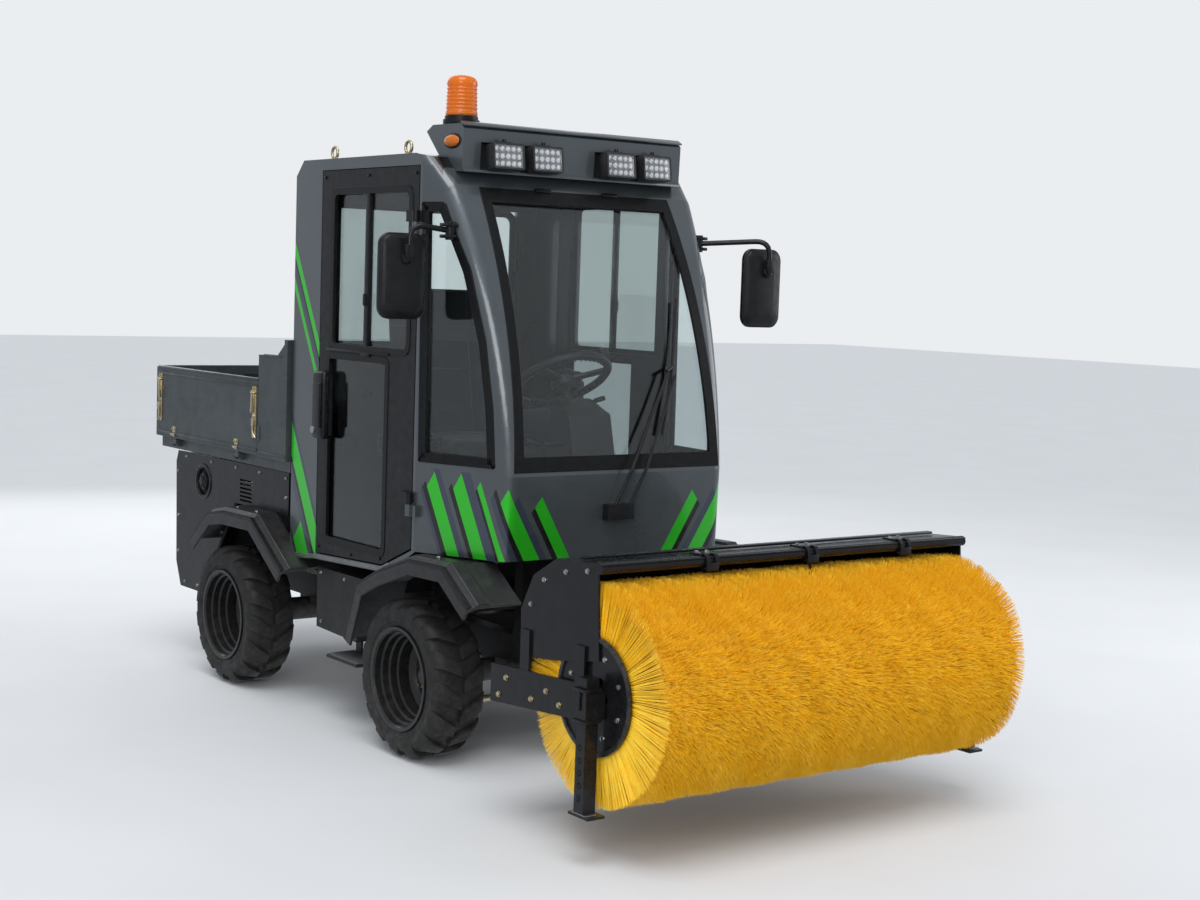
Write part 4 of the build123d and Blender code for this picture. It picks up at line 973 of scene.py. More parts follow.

# %% [markdown]
# Two more things finish the brush. The end rings are seen from their side, so their bristles
# reach all the way from the end disc to the tips. Behind the tips stands a full body, the
# bristles too deep to tell apart, with fine radial and lengthwise ridges instead of smooth skin.
# It wears the bristles' finish, whose painted root shade makes it dark, standing in for the
# shade inside the brush.

# %% Brush ends and inner mass
for side, name in SIDES:
    mesh = bmesh.new()
    fan = bristle_ring(1500, 0.165, TIP_R - 0.001, 0.008, 0.012, 0.0019)
    stamp(mesh, fan, Matrix.Translation((side * 0.7575, 0, 0)))
    bristle_piece(f"bristle_fan_{name}", mesh, FAN)

mass_profile = [(-751, 96), (-751, 292)]
mass_profile += [(-740 + 1480 * k / 90, 299 + 4 * (k % 2)) for k in range(91)]
mass_profile += [(751, 292), (751, 96)]
mesh = lathe(mass_profile, 120, (0, 0, 0))
for vert in mesh.verts:
    out = math.hypot(vert.co.y, vert.co.z)
    if out > 0.2:
        angle = math.atan2(vert.co.y, vert.co.z)
        swell = 1 + 0.012 * math.sin(60 * angle) + 0.006 * math.sin(17 * angle + 60 * vert.co.x)
        vert.co.y *= swell
        vert.co.z *= swell
bmesh.ops.translate(mesh, verts=mesh.verts, vec=BRUSH_AXIS)
# Its dark tone is the bristle finish's painted root shade, standing in for the shade inside the
# brush.
finished("bristle_mass", mesh, BRISTLE, "brush", "bristle", 30)
print("brush ends done")

# %% [markdown]
# A steel disc closes each end of the roller. The CAD solid has the disc; what is added is its
# rolled outer edge and a circle of eight bolts.

# %% End discs
disc_rim = Finish("disc_steel", (0.03, 0.03, 0.032), 0.25, metallic=0.6)
disc_rim.mottle((0.12, 0.12, 0.12), 40, 0.5)
DISC_EDGE = [(768, 166), (776, 168), (777, 174), (775, 181.5), (767, 181.5)]
DISC_BOLT_CIRCLE = 128


def on_circle(centre_y, centre_z, radius, turn):
    """A place (y, z) on a circle, from a share of a full turn."""
    angle = math.tau * turn
    return centre_y + radius * math.cos(angle), centre_z + radius * math.sin(angle)


for side, name in SIDES:
    edge = lathe(DISC_EDGE, 96, BRUSH_AXIS, side=side)
    finished(f"disc_edge_{name}", edge, disc_rim.material, "brush", "black_paint", 40)
    places = [on_circle(BRUSH_Y, BRUSH_Z, DISC_BOLT_CIRCLE, (k + 0.5) / 8) for k in range(8)]
    spots = [(side * 769.5, y, z) for y, z in places]
    bolts(f"disc_bolts_{name}", spots, (side, 0, 0), 8, BRIGHT, "brush")
print("end discs done")

# %% [markdown]
# Rubber seals and black borders surround every pane. A bonded windscreen has a wide black band
# at its edge that hides the glue, and it curves with the glass. So the first helpers place a
# point on the same arc that the CAD pane follows, on a side wall or on the rear wall.


# %% Places on the cab's walls
def screen_station(z):
    """The y of the windscreen's outer curve at height z."""
    return ARC_Y - math.sqrt(ARC_R**2 - (z - ARC_Z) ** 2)


def on_screen(x, z, out):
    """A point laid on the windscreen."""
    slope = Vector((screen_station(z) - ARC_Y, z - ARC_Z)).normalized()
    return station(x, screen_station(z) + slope.x * out, z + slope.y * out)


def on_side(sign):
    """Places (y, z, out) on a side wall of the cab, which narrows ahead of the door."""
    def place(y, z, out):
        return station(sign * (CAB_HALF - 0.22 * max(0.0, 60 - y) + out), y, z)

    return place


def on_rear(x, z, out):
    """A point laid on the cab's rear wall."""
    return station(x, REAR_Y + out, z)


SCREEN_LOW, SCREEN_HIGH = up(0.0206), up(0.888)
print("windscreen from", round(SCREEN_LOW), "to", round(SCREEN_HIGH))

# %% [markdown]
# The windscreen's band is a grid with its inner cells taken out. Its rows are spread along the
# screen, so it bends in many small steps. The other windows get rings with round corners.

# %% Window seals
mesh = bmesh.new()
ROWS = 22
bmesh.ops.create_grid(mesh, x_segments=3, y_segments=ROWS, size=0.5)
centres = [(f, f.calc_center_median()) for f in mesh.faces]
inside = [f for f, c in centres if abs(c.x) < 0.1 and abs(c.y) < 0.5 - 1.2 / ROWS]
bmesh.ops.delete(mesh, geom=inside, context="FACES")
raised(mesh, mesh.faces, 1)
for vert in mesh.verts:
    row = round((vert.co.y + 0.5) * ROWS)
    inner = SCREEN_LOW + 44 + (row - 1) * (SCREEN_HIGH - SCREEN_LOW - 84) / (ROWS - 2)
    z = SCREEN_LOW - 10 if row == 0 else SCREEN_HIGH + 9 if row == ROWS else inner
    half = 448 - 30 * (z - SCREEN_LOW) / (SCREEN_HIGH - SCREEN_LOW)
    half += 9 if abs(vert.co.x) > 0.4 else -30
    vert.co = on_screen(math.copysign(half, vert.co.x), z, 2.5 if vert.co.z > 0.5 else -12)
softened(finished("windscreen_band", mesh, SEAL, "chassis", "black_plastic", 30), 1.5)

QUARTER = [(52, 0.8378), (-60, 0.8378), (-180, 0.6281), (-262, 0.4229)]
QUARTER += [(-305, 0.2159), (-322, 0.0269), (40, 0.0206)]
quarter = spread([(y, up(share)) for y, share in QUARTER], 7)
for sign, side in SIDES:
    mesh = laid(ring(quarter, 14, 36, 13, -10.5, 3), on_side(sign))
    softened(finished(f"quarter_band_{side}", mesh, SEAL, "chassis", "black_plastic", 30), 1.2)
rear_outline = [(-462, up(0.33)), (462, up(0.33)), (462, up(0.871)), (-462, up(0.871))]
mesh = laid(ring(rear_outline, 60, 30, 13, -10.5), on_rear)
softened(finished("rear_window_band", mesh, SEAL, "chassis", "black_plastic", 30), 1.2)

mesh = bmesh.new()
for x in (-150, 150):
    slab(mesh, on_screen(x, SCREEN_HIGH + 8, 3), (70, 12, 16), 3, tilt(-0.45))
finished("screen_clips", mesh, SEAL, "chassis", "black_plastic", 40)
print("window bands laid on an arc of", round(ARC_R), "mm")

# %% [markdown]
# The doors are black. Their upper window is a sliding pair in a black frame with an upright bar
# where the panes lap, a finger catch and round corners. The lower pane is held in a rubber with
# round corners too. All of it rides on the door. A moulded case covers the outside handle.

# %% Doors
paint(MOULDED, "door_right", "door_left")
UPPER = (128, 716, up(0.3539), up(0.8925))
LOWER = (274, 735, 690, up(0.3324))
LAP_Y = 444
HANDLE_Z = BELT + 172
LOCK = ((0, 0), (0, 15), (5, 14), (6, 9), (6, 0))
DOOR_BOLTS = ((100, 2090), (440, 2090), (775, 2090), (775, 660), (520, 660), (300, 675))
for sign, side in SIDES:
    body = f"door_{side}"
    place = on_side(sign)
    mesh = bmesh.new()
    for (y0, y1, z0, z1), corner in ((UPPER, 48), (LOWER, 34)):
        outline = spread([(y0, z0), (y1, z0), (y1, z1), (y0, z1)], 9)
        join(mesh, laid(ring(outline, corner, 27, 14, -11.5), place))
    softened(finished(f"door_seals_{side}", mesh, SEAL, body, "black_plastic", 30), 1.2)
    mesh = bmesh.new()
    middle_z = (UPPER[2] + UPPER[3]) / 2
    slab(mesh, place(LAP_Y, middle_z, -6), (16, 30, UPPER[3] - UPPER[2] - 20), 2.5)
    slab(mesh, place(LAP_Y, UPPER[2] + 190, 4), (16, 20, 46), 5)
    slab(mesh, place(498, UPPER[2] - 6, 3), (10, 470, 10), 2)
    slab(mesh, place(432, 1425, 4), (10, 64, 16), 4)
    finished(f"door_slider_{side}", mesh, MOULDED, body, "black_plastic", 40)
    mesh = bmesh.new()
    slab(mesh, place(742, HANDLE_Z, 18), (44, 92, 262), 17, segments=4)
    finished(f"door_handle_{side}", mesh, ENAMEL, body, "black_plastic", 60)
    mesh = bmesh.new()
    slab(mesh, place(712, HANDLE_Z, 41), (14, 20, 176), 6, segments=3)
    finished(f"door_grip_{side}", mesh, SEAL, body, "black_plastic", 60)
    key = lathe(LOCK, 20, place(768, BELT + 74, 39), side=sign)
    finished(f"door_lock_{side}", key, BRIGHT, body, None, 30)
    spots = [(sign * (CAB_HALF + 0.5), y, z) for y, z in DOOR_BOLTS]
    bolts(f"door_bolts_{side}", spots, (sign, 0, 0), 6, ENAMEL, body)
print("doors done")

# %% [markdown]
# The lamp bar carries four square work lamps, each a cast housing with cooling fins, a clear
# lens and rows of small bright reflectors, hung from a bracket. They tilt down a little to the
# road.

# %% Work lamps
housing = Finish("lamp_housing", (0.02, 0.02, 0.021), 0.42, metallic=0.3)
housing.mottle((0.035, 0.035, 0.036), 60)
housing.grain(500, 0.05)
reflector = Finish("lamp_reflector", (0.82, 0.83, 0.85), 0.12, metallic=1.0)
reflector.gloss(80, 0.08, 0.2)
lamp_low, lamp_high = (corner.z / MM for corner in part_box("work_lamps"))
LAMP_Z = (lamp_low + lamp_high) / 2
LAMP_PLACES = (-335, -165, 165, 335)
TILT = tilt(math.radians(-7))
cases, mirrors_in, lenses, brackets = bmesh.new(), bmesh.new(), bmesh.new(), bmesh.new()
for x in LAMP_PLACES:
    centre = station(x, -86, LAMP_Z - 2)

    def from_lamp(dx, dy, dz):
        """A point given from the lamp's middle, in millimetres, tilted with it."""
        return centre + TILT @ (Vector((dx, dy, dz)) * MM)

    slab(cases, centre, (128, 46, 92), 7, TILT)
    for k in range(7):
        slab(cases, from_lamp(-48 + 16 * k, 32, 0), (5, 26, 78), 1.5, TILT)
    upright = TILT.to_4x4() @ Matrix.Rotation(math.pi / 2, 4, "X")
    upright = Matrix.Translation(from_lamp(0, -22, 0)) @ upright
    join(cases, ring(oblong(66, 47), 9, 7, 12), upright @ Matrix.Scale(MM, 4))
    slab(lenses, from_lamp(0, -30, 0), (119, 5, 81), 2, TILT)
    for row in range(3):
        for column in range(5):
            place = from_lamp(-46 + 23 * column, -24, -25 + 25 * row)
            ball(mirrors_in, 0.0105, place, 12, 6, (1, 0.35, 1))
    slab(brackets, from_lamp(0, 4, 52), (52, 34, 8), 2)
    slab(brackets, from_lamp(0, 30, 62), (40, 6, 34), 2)
    tube(brackets, [(x, -84, LAMP_Z + 40), (x, -84, LAMP_Z + 62)], 9, sides=12)
softened(finished("lamp_cases", cases, housing.material, "chassis", "black_plastic", 30), 0.8)
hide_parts("work_lamps")
finished("lamp_reflectors", mirrors_in, reflector.material, "chassis", "lamp", 60)
finished("lamp_lenses", lenses, CLEAR_LENS, "chassis", "glass", 40)
finished("lamp_brackets", brackets, ENAMEL, "chassis", "black_paint", 40)
print("work lamps", len(LAMP_PLACES), "at height", round(LAMP_Z))

# %% [markdown]
# The bar's top edge has a thin lip in the paint of the bar, and a strip runs below the lamps.
# An amber marker sits on each end, an egg shape on a flatter black base.

# %% Lamp bar
bar_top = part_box("light_bar")[1].z / MM
mesh = bmesh.new()
slab(mesh, station(0, -51, bar_top - 3), (984, 30, 7), 2.5, tilt(math.radians(28)))
slab(mesh, station(0, -60, lamp_low - 11), (980, 10, 10), 2)
finished("bar_lip", mesh, bar_paint, "chassis", "cab_paint", 40)
markers, bases = bmesh.new(), bmesh.new()
for sign, _ in SIDES:
    place = station(sign * 491, 14, bar_top - 62)
    ball(markers, 0.05, place, 28, 14, (0.36, 1.0, 0.44))
    ball(bases, 0.056, place, 28, 14, (0.14, 1.0, 0.5))
finished("bar_markers", markers, AMBER, "chassis", "amber", 60)
finished("marker_bases", bases, MOULDED, "chassis", "black_plastic", 60)
print("lamp bar done")

# %% [markdown]
# The beacon is a turned shape: a grey foot with a rubber ring, and a tall amber lens whose wall
# has ribs all round, with a darker core inside it where the flashing unit stands.

# %% Beacon
foot_at = middle("beacon")
foot_at.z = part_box("beacon")[0].z
foot_section = [(0, 0), (0, 64), (5, 66), (18, 66), (20, 60), (30, 60), (33, 57), (33, 0)]
foot = lathe(foot_section, 64, foot_at, "Z")
finished("beacon_foot", foot, MOULDED, "chassis", "black_plastic", 40)
lens_section = [(33, 40), (33, 57), (40, 59)]
lens_rib = [(0, 57), (4, 57.6), (7, 55.2), (11, 55.2)]
for k in range(7):
    lens_section += [(44 + 13.5 * k + a, r - 0.4 * k) for a, r in lens_rib]
lens_section += [(142, 56), (156, 54), (168, 46), (175, 30), (177, 0)]
lens_section += [(174, 0), (171, 30), (164, 43), (154, 50), (40, 51)]
beacon_glow = Finish("beacon_core", (0.9, 0.16, 0.01), 0.35)
beacon_glow.mottle((0.5, 0.06, 0.005), 30)
lens = lathe(lens_section, 64, foot_at, "Z")
lens = finished("beacon_lens", lens, AMBER, "chassis", "amber", 40)
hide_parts("beacon")
core_section = [(34, 0), (34, 40), (60, 38), (70, 30), (118, 30), (126, 24), (128, 0)]
core = lathe(core_section, 40, foot_at, "Z")
finished("beacon_unit", core, beacon_glow.material, "chassis", "amber", 40)
print("roof lamps done")

# %% [markdown]
# Down in each deep rim the pressed steel steps inwards ring by ring, as a real drop-centre rim
# does, and ends at the disc with its eight zinc nuts, a hub cap and a valve. The steps are one
# turned liner, so light runs round them as fine bright circles.

# %% Wheels
NUT_CIRCLE = 92
liner_section = [(99, 177), (93, 169.5), (74, 168.5), (69, 160), (46, 159), (41, 151)]
liner_section += [(16, 150), (11, 143), (-30, 141), (-37, 132), (-47, 122), (-52, 118)]
liner_section += [(-54, 124), (-45, 150), (-30, 160), (60, 170), (90, 174)]
cap_section = [(-16, 0), (-16, 36), (-8, 35), (-2, 29), (1, 18), (2, 0)]
for place, centre in WHEEL_AXES.items():
    side = -1 if place.endswith("right") else 1
    body = place.replace("_", "_wheel_")
    liner = lathe(liner_section, 96, centre, side=side)
    finished(f"rim_steps_{place}", liner, wheel_black.material, body, "rim_paint", 28)
    y0, z0 = (centre.y - AXLE_Y) / MM, centre.z / MM
    face = centre.x / MM
    nuts = bmesh.new()
    nut = fastener(13)
    for k in range(8):
        y, z = on_circle(y0, z0, NUT_CIRCLE, (k + 0.25) / 8)
        seat = Matrix.Translation(station(face - side * 53.5, y, z))
        stamp(nuts, nut, seat @ aimed((side, 0, 0)))
        tube(nuts, [(face - side * 50, y, z), (face - side * 32, y, z)], 6.5, sides=10)
    finished(f"wheel_nuts_{place}", nuts, ZINC, body, "zinc", 30)
    cap = lathe(cap_section, 48, centre, side=side)
    finished(f"hub_cap_{place}", cap, CASTING, body, "cast", 40)
    valve = bmesh.new()
    stem = [(20, -152, 20), (62, -146, 19)], [(60, -146.2, 19), (74, -144, 19)]
    for points, radius in zip(stem, (4.5, 6)):
        points = [(face + side * x, y0 + y, z0 + z) for x, y, z in points]
        tube(valve, points, radius, sides=10)
    finished(f"valve_{place}", valve, SEAL, body, "black_plastic", 40)
print("wheels fitted", len(WHEEL_AXES))

# %% [markdown]
# The mudguards are heavy rubbery mouldings. Their section is a raised flat along the middle, a
# wide bevel outside it and a deep lip, and this section is pushed along the angular outline. At
# each corner the section stands on the line that halves the angle, as a mitre does.


# %% A mitred section
def mitred(outline, section, side):
    """A section of (x, lift) points pushed along a (y, z) outline, as a closed bmesh."""
    mesh = bmesh.new()
    loops = []
    for i, (y, z) in enumerate(outline):
        normals = []
        for a, b in zip(outline[max(i - 1, 0) : i + 1], outline[max(i, 1) : i + 2]):
            dy, dz = b[0] - a[0], b[1] - a[1]
            run = math.hypot(dy, dz)
            normals.append((-dz / run, dy / run))
        ny = sum(n[0] for n in normals) / len(normals)
        nz = sum(n[1] for n in normals) / len(normals)
        scale = 1 / (ny * ny + nz * nz)
        loop = bmesh.ops.create_circle(mesh, segments=len(section), radius=1)["verts"]
        for vert, (x, lift) in zip(loop, section):
            vert.co = station(side * x, y + ny * lift * scale, z + nz * lift * scale)
        loops.append(loop)
    rims = [edges_of(loop) for loop in loops]
    for first, second in zip(rims, rims[1:]):
        bmesh.ops.bridge_loops(mesh, edges=first + second)
    for rim in (rims[0], rims[-1]):
        bmesh.ops.contextual_create(mesh, geom=rim)
    return mesh


# %% Mudguards
front_line = [(-466, 618), (-290, 736), (-60, 730), (160, 657), (300, 592), (386, 373)]
rear_axle_y = (WHEEL_AXES["rear_right"].y - AXLE_Y) / MM
rear_line = [(-538, 548), (-260, 729), (26, 725), (150, 702), (318, 572)]
rear_line = [(rear_axle_y + y, z) for y, z in rear_line]
lip = [(644, 13), (652, 6), (681, -14), (682, -56), (671, -56), (671, -20), (640, -9)]
guard_section = [(462, 2), (586, 2), (596, 13)] + lip + [(462, -9)]
rear_section = [(561, 16), (590, 16), (600, 13)] + lip + [(561, -9)]
rubbery = Finish("mudguard_rubber", (0.011, 0.011, 0.012), 0.34, specular=0.32)
rubbery.mottle((0.018, 0.018, 0.019), 25)
rubbery.dust(0.14, 0.8, 0.3)
rubbery.gloss(30, 0.26, 0.44)
rubbery.grain(700, 0.06)
guards = (("front", front_line, guard_section), ("rear", rear_line, rear_section))
for side, name in SIDES:
    for end, line, section in guards:
        piece = f"{end}_guard_{name}"
        guard = mitred(line, section, side)
        guard = finished(piece, guard, rubbery.material, "chassis", "black_plastic", 25)
        softened(guard, 2.5, 3)
    spots = [(side * 620, -175, 746.5), (side * 620, 30, 713), (side * 620, 200, 651.5)]
    bolts(f"front_guard_bolts_{name}", spots, (0, 0.1, 1), 8, BRIGHT, "chassis")
    spots = [(side * 620, rear_axle_y + y, z) for y, z in ((-200, 741.5), (-30, 739))]
    bolts(f"rear_guard_bolts_{name}", spots, (0, 0, 1), 8, BRIGHT, "chassis")
print("mudguards done")

# %% [markdown]
# The mirrors show their backs to the front. Each head is a pan with round corners that swells
# towards the front in small steps, with a rim, a ball clamp and a bent tube arm; the pane faces
# the driver. The arm is clamped to the windscreen pillar.

# %% Mirrors
mirror_z = up(0.6066)
root_z = up(0.7527)
PAN_STEPS = ((2, 3), (5, 1), (3, 4), (8, 6), (13, 6), (20, 4), (24, 2))
mirror_faces, heads, arms = bmesh.new(), bmesh.new(), bmesh.new()
for side, x, y in ((-1, -705, -30), (1, 750, -270)):

    def on_mirror(a, b, out):
        """A point given from the middle of the mirror's pane, which faces back."""
        return station(x + a, y + out, mirror_z + b)

    half_x, half_z = 93, 150
    pan = plate(oblong(half_x, half_z), 44, 7)
    faces = raised(pan, pan.faces, 14)[1]
    for step, lift in PAN_STEPS:
        points, faces = raised(pan, faces, lift)
        bmesh.ops.scale(pan, verts=points, vec=(1 - step / half_x, 1 - step / half_z, 1))
        half_x, half_z = half_x - step, half_z - step
    for vert in pan.verts:
        vert.co = on_mirror(vert.co.x, vert.co.y, 22 - vert.co.z)
    join(heads, pan)
    pane_rim = ring(oblong(84, 141), 38, 5, 3, 23)
    join(heads, laid(pane_rim, on_mirror))
    glass = plate(oblong(80, 137), 34, 6, 23.2)
    inset(glass, 3, 1.5)
    join(mirror_faces, laid(glass, on_mirror))
    clamp_z = mirror_z + 62
    ball(heads, 0.022, station(x, y - 20, clamp_z), 24, 12)
    slab(heads, station(x, y - 30, clamp_z + 22), (34, 30, 52), 6)
    elbow = (side * (abs(x) - 4), y - 34, root_z + 18)
    root = (side * (CAB_HALF - 22), -100, root_z)
    tube(arms, [root, elbow, (x, y - 34, clamp_z - 6)], 10, 55)
    tube(arms, [(root[0] + side * 2, root[1], root_z + dz) for dz in (-32, 32)], 17)
    for dz in (-20, 20):
        slab(arms, station(root[0] + side * 6, root[1] + 2, root_z + dz), (52, 44, 12), 3)
mirror_heads = finished("mirror_heads", heads, MOULDED, "chassis", "black_plastic", 35)
softened(mirror_heads, 1.0)
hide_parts("mirrors")
finished("mirror_arms", arms, ENAMEL, "chassis", "black_paint", 50)
finished("mirror_panes", mirror_faces, mirror_silver.material, "chassis", "glass", 40)
print("mirrors at height", round(mirror_z))

# %% [markdown]
# On the brush carrier, three clamps hold the hood's front tube, and a chain pin hangs from the
# middle one. Folded strips run along the hood, where the sheet is stiffened.

# %% Hood
HOOD_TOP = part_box("brush_hood")[1].z / MM
TUBE_Y = BRUSH_Y - 15.1
TUBE_Z = HOOD_TOP - 17
SLEEVE_BACK = BRUSH_Y - 10.5
CLAMPS = (-360, 60, 480)
mesh = bmesh.new()
for x in CLAMPS:
    for dx in (-18, 18):
        section = [(dx - 7, 17.5), (dx - 7, 25), (dx + 7, 25), (dx + 7, 17.5)]
        join(mesh, lathe(section, 32, station(x, TUBE_Y, TUBE_Z)))
    slab(mesh, station(x, TUBE_Y + 26, TUBE_Z + 19), (64, 60, 7), 1.5)
    slab(mesh, station(x, TUBE_Y - 21, TUBE_Z - 16), (50, 8, 26), 2)
pin_x = CLAMPS[1]
tube(mesh, [(pin_x, TUBE_Y - 10, TUBE_Z - 22), (pin_x, TUBE_Y - 12, TUBE_Z - 66)], 5.5)
tube(mesh, [(pin_x, TUBE_Y - 12, TUBE_Z - 60), (pin_x, TUBE_Y - 14, TUBE_Z - 96)], 8.5)
finished("hood_clamps", mesh, ENAMEL, "brush_frame", "black_paint", 40)
spots = [(x + dx, TUBE_Y + 34, TUBE_Z + 22.5) for x in CLAMPS for dx in (-20, 20)]
bolts("hood_bolts", spots, (0, 0, 1), 7, BRIGHT, "brush_frame")

mesh = bmesh.new()
slab(mesh, station(0, TUBE_Y - 12, TUBE_Z + 12), (1552, 12, 5), 1.5)
slab(mesh, station(0, BRUSH_Y + 110, HOOD_TOP - 2), (1500, 26, 8), 2.5)
slab(mesh, station(0, BRUSH_Y + 262, HOOD_TOP - 46), (1500, 26, 8), 2.5, tilt(-0.5))
finished("hood_ribs", mesh, ENAMEL, "brush_frame", "black_paint", 40)
print("hood clamps", len(CLAMPS))

# %% [markdown]
# Rows of bolts hold the cheeks and the side arms. The parking legs are square tubes with a row
# of holes and a spring pin through the sleeve. The roller's bearing is cut flat in front, so
# that the sleeve and the sliding leg pass it.

# %% Carrier sides and legs
CHEEK_BOLTS = ((40, 370), (150, 352), (262, 312), (330, 226), (356, 130))
CHEEK_BOLTS += ((346, 60), (346, 120), (57, 100))
ARM_BOLTS = ((480, 410), (440, 470), (300, 430), (220, 470), (150, 440))
BEARING = [(788, 0), (788, 50), (798, 50), (800, 44), (806, 42), (808, 30), (811, 28), (812, 0)]
for side, name in SIDES:
    spots = [(side * 778.2, BRUSH_Y + y, BRUSH_Z + z) for y, z in CHEEK_BOLTS]
    bolts(f"cheek_bolts_{name}", spots, (side, 0, 0), 8, BRIGHT, "brush_frame")
    spots = [(side * 788.3, BRUSH_Y + y, z) for y, z in ARM_BOLTS]
    bolts(f"arm_bolts_{name}", spots, (side, 0, 0), 9, ZINC, "brush_frame")
    mesh = lathe(BEARING, 48, station(0, BRUSH_Y, BRUSH_Z), side=side)
    cut = {"plane_co": station(0, SLEEVE_BACK, 0), "plane_no": (0, -1, 0), "clear_outer": True}
    bmesh.ops.bisect_plane(mesh, geom=mesh.verts[:] + mesh.edges[:] + mesh.faces[:], **cut)
    bmesh.ops.holes_fill(mesh, edges=[edge for edge in mesh.edges if edge.is_boundary])
    finished(f"bearing_{name}", mesh, CASTING, "brush_frame", "cast", 35)
    leg_x = side * 821
    leg_y = BRUSH_Y - 39
    mesh = bmesh.new()
    tube(mesh, [(leg_x + side * dx, leg_y, BRUSH_Z + 18) for dx in (26, 33)], 6)
    tube(mesh, [(leg_x + side * 31, leg_y, BRUSH_Z + dz) for dz in (30, -26)], 3.5, sides=10)
    for dz in (-60, 34):
        collar = ring(oblong(31, 31), 5, 6.5, 9)
        for vert in collar.verts:
            a, b, out = vert.co
            x = leg_x + side * 2.5 + a * 1.06
            vert.co = station(x, leg_y + b, BRUSH_Z + dz - 4 + out)
        join(mesh, collar)
    finished(f"leg_sleeve_trim_{name}", mesh, ENAMEL, "brush_frame", "black_paint", 40)
    mesh = bmesh.new()
    for k in range(5):
        section = [(-23, 6.5), (-23, 9), (23, 9), (23, 6.5)]
        join(mesh, lathe(section, 20, station(leg_x, leg_y, 205 + 38 * k)))
    slab(mesh, station(leg_x + side * 4.5, leg_y - 5, 159.5), (44, 70, 4), 1.5)
    finished(f"leg_holes_{name}", mesh, BRIGHT, f"stand_leg_{name}", None, 40)
print("brush carrier done")

# %% [markdown]
# The bed's drop-sides are closed by zinc-plated over-centre latches at their ends: a backing
# plate with bolts, a lever and a hook that goes over a pin on the fixed wall. Each drop-side
# also has a folded top rim, a lower flange and two hinge straps.

# %% Drop-sides
bed_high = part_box("bed_side_right")[1].z / MM
side_front, side_rear = ((c.y - AXLE_Y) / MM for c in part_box("bed_side_right"))
BED_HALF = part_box("bed_bulkhead")[1].x / MM
FLANGE_Z = 990
LATCHES = ((side_front + 26, 1), (side_rear - 26, -1))
HINGES = (side_front + 190, side_rear - 177)
for sign, name in SIDES:
    body = f"bed_side_{name}"
    wall = sign * (BED_HALF + 1)
    mesh = bmesh.new()
    half_way, run = (side_front + side_rear) / 2, side_rear - side_front
    slab(mesh, station(sign * (BED_HALF - 8), half_way, bed_high + 1.5), (26, run - 2, 9), 3)
    slab(mesh, station(wall, half_way, FLANGE_Z), (10, run - 4, 14), 3)
    slab(mesh, station(wall, half_way, bed_high - 26), (6, run - 4, 10), 2.5)
    finished(f"bed_rim_{name}", mesh, coat_grey.material, body, "bed_grey", 40)
    mesh = bmesh.new()
    for y, way in LATCHES:
        slab(mesh, station(wall + sign * 1, y, 1145), (5, 34, 214), 1.5)
        lever = station(wall + sign * 9, y + 5 * way, 1190)
        slab(mesh, lever, (12, 13, 96), 3, tilt(0.07 * way))
        slab(mesh, station(wall + sign * 8, y - 2 * way, 1104), (10, 20, 34), 3)
        hook = [(8, 0, 1096), (8, 0, 1058), (4, -18 * way, 1040)]
        loop = [(0, -14, 1226), (14, -14, 1226), (14, 14, 1226), (0, 14, 1226)]
        for points, radius, bend in ((hook, 4.5, 12), (loop, 4, 8)):
            points = [(wall + sign * out, y + dy, z) for out, dy, z in points]
            tube(mesh, points, radius, bend, 10)
    for y in HINGES:
        slab(mesh, station(wall + sign * 1, y, 1000), (5, 30, 46), 1.5)
        tube(mesh, [(wall + sign * 5, y - 21, 986), (wall + sign * 5, y + 21, 986)], 5.5, sides=12)
    finished(f"bed_latches_{name}", mesh, ZINC, body, "zinc", 40)
    spots = [(wall + sign * 3.5, y, z) for y, _ in LATCHES for z in (1052, 1128, 1246)]
    spots += [(wall + sign * 3.5, y + dy, 1012) for y in HINGES for dy in (-8, 8)]
    bolts(f"bed_latch_bolts_{name}", spots, (sign, 0, 0), 6, ZINC, body)
    mesh = bmesh.new()
    slab(mesh, station(wall, side_front - 16, 1062), (6, 18, 60), 1.5)
    slab(mesh, station(sign * (BED_HALF - 10), side_front - 130, bed_high + 105), (28, 160, 8), 3)
    slab(mesh, station(wall, side_front - 130, 985), (6, 246, 12), 2)
    finished(f"bed_wing_trim_{name}", mesh, coat_grey.material, "bed", "bed_grey", 40)
print("drop-sides", round(side_rear - side_front), "mm long")

# %% [markdown]
# The tailgate has the same folded rim and flange, and a latch near each end.

# %% Tailgate
rear_y = (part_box("tailgate")[1].y - AXLE_Y) / MM
mesh = bmesh.new()
slab(mesh, station(0, rear_y - 9, bed_high + 1.5), (1180, 26, 9), 3)
slab(mesh, station(0, rear_y + 1, FLANGE_Z), (1180, 10, 14), 3)
finished("tailgate_rim", mesh, coat_grey.material, "tailgate", "bed_grey", 40)
GATE_LATCHES = (-570, 570)
mesh = bmesh.new()
for x in GATE_LATCHES:
    slab(mesh, station(x, rear_y + 2, 1145), (34, 5, 180), 1.5)
    slab(mesh, station(x, rear_y + 9, 1180), (13, 12, 96), 3)
    hook = [(x, rear_y + 8, 1092), (x, rear_y + 8, 1056), (x * 1.028, rear_y + 3, 1042)]
    tube(mesh, hook, 4.5, 12, 10)
finished("tailgate_latches", mesh, ZINC, "tailgate", "zinc", 40)
spots = [(x, rear_y + 4.5, z) for x in GATE_LATCHES for z in (1070, 1222)]
bolts("tailgate_bolts", spots, (0, 1, 0), 6, ZINC, "tailgate")
print("bed done")
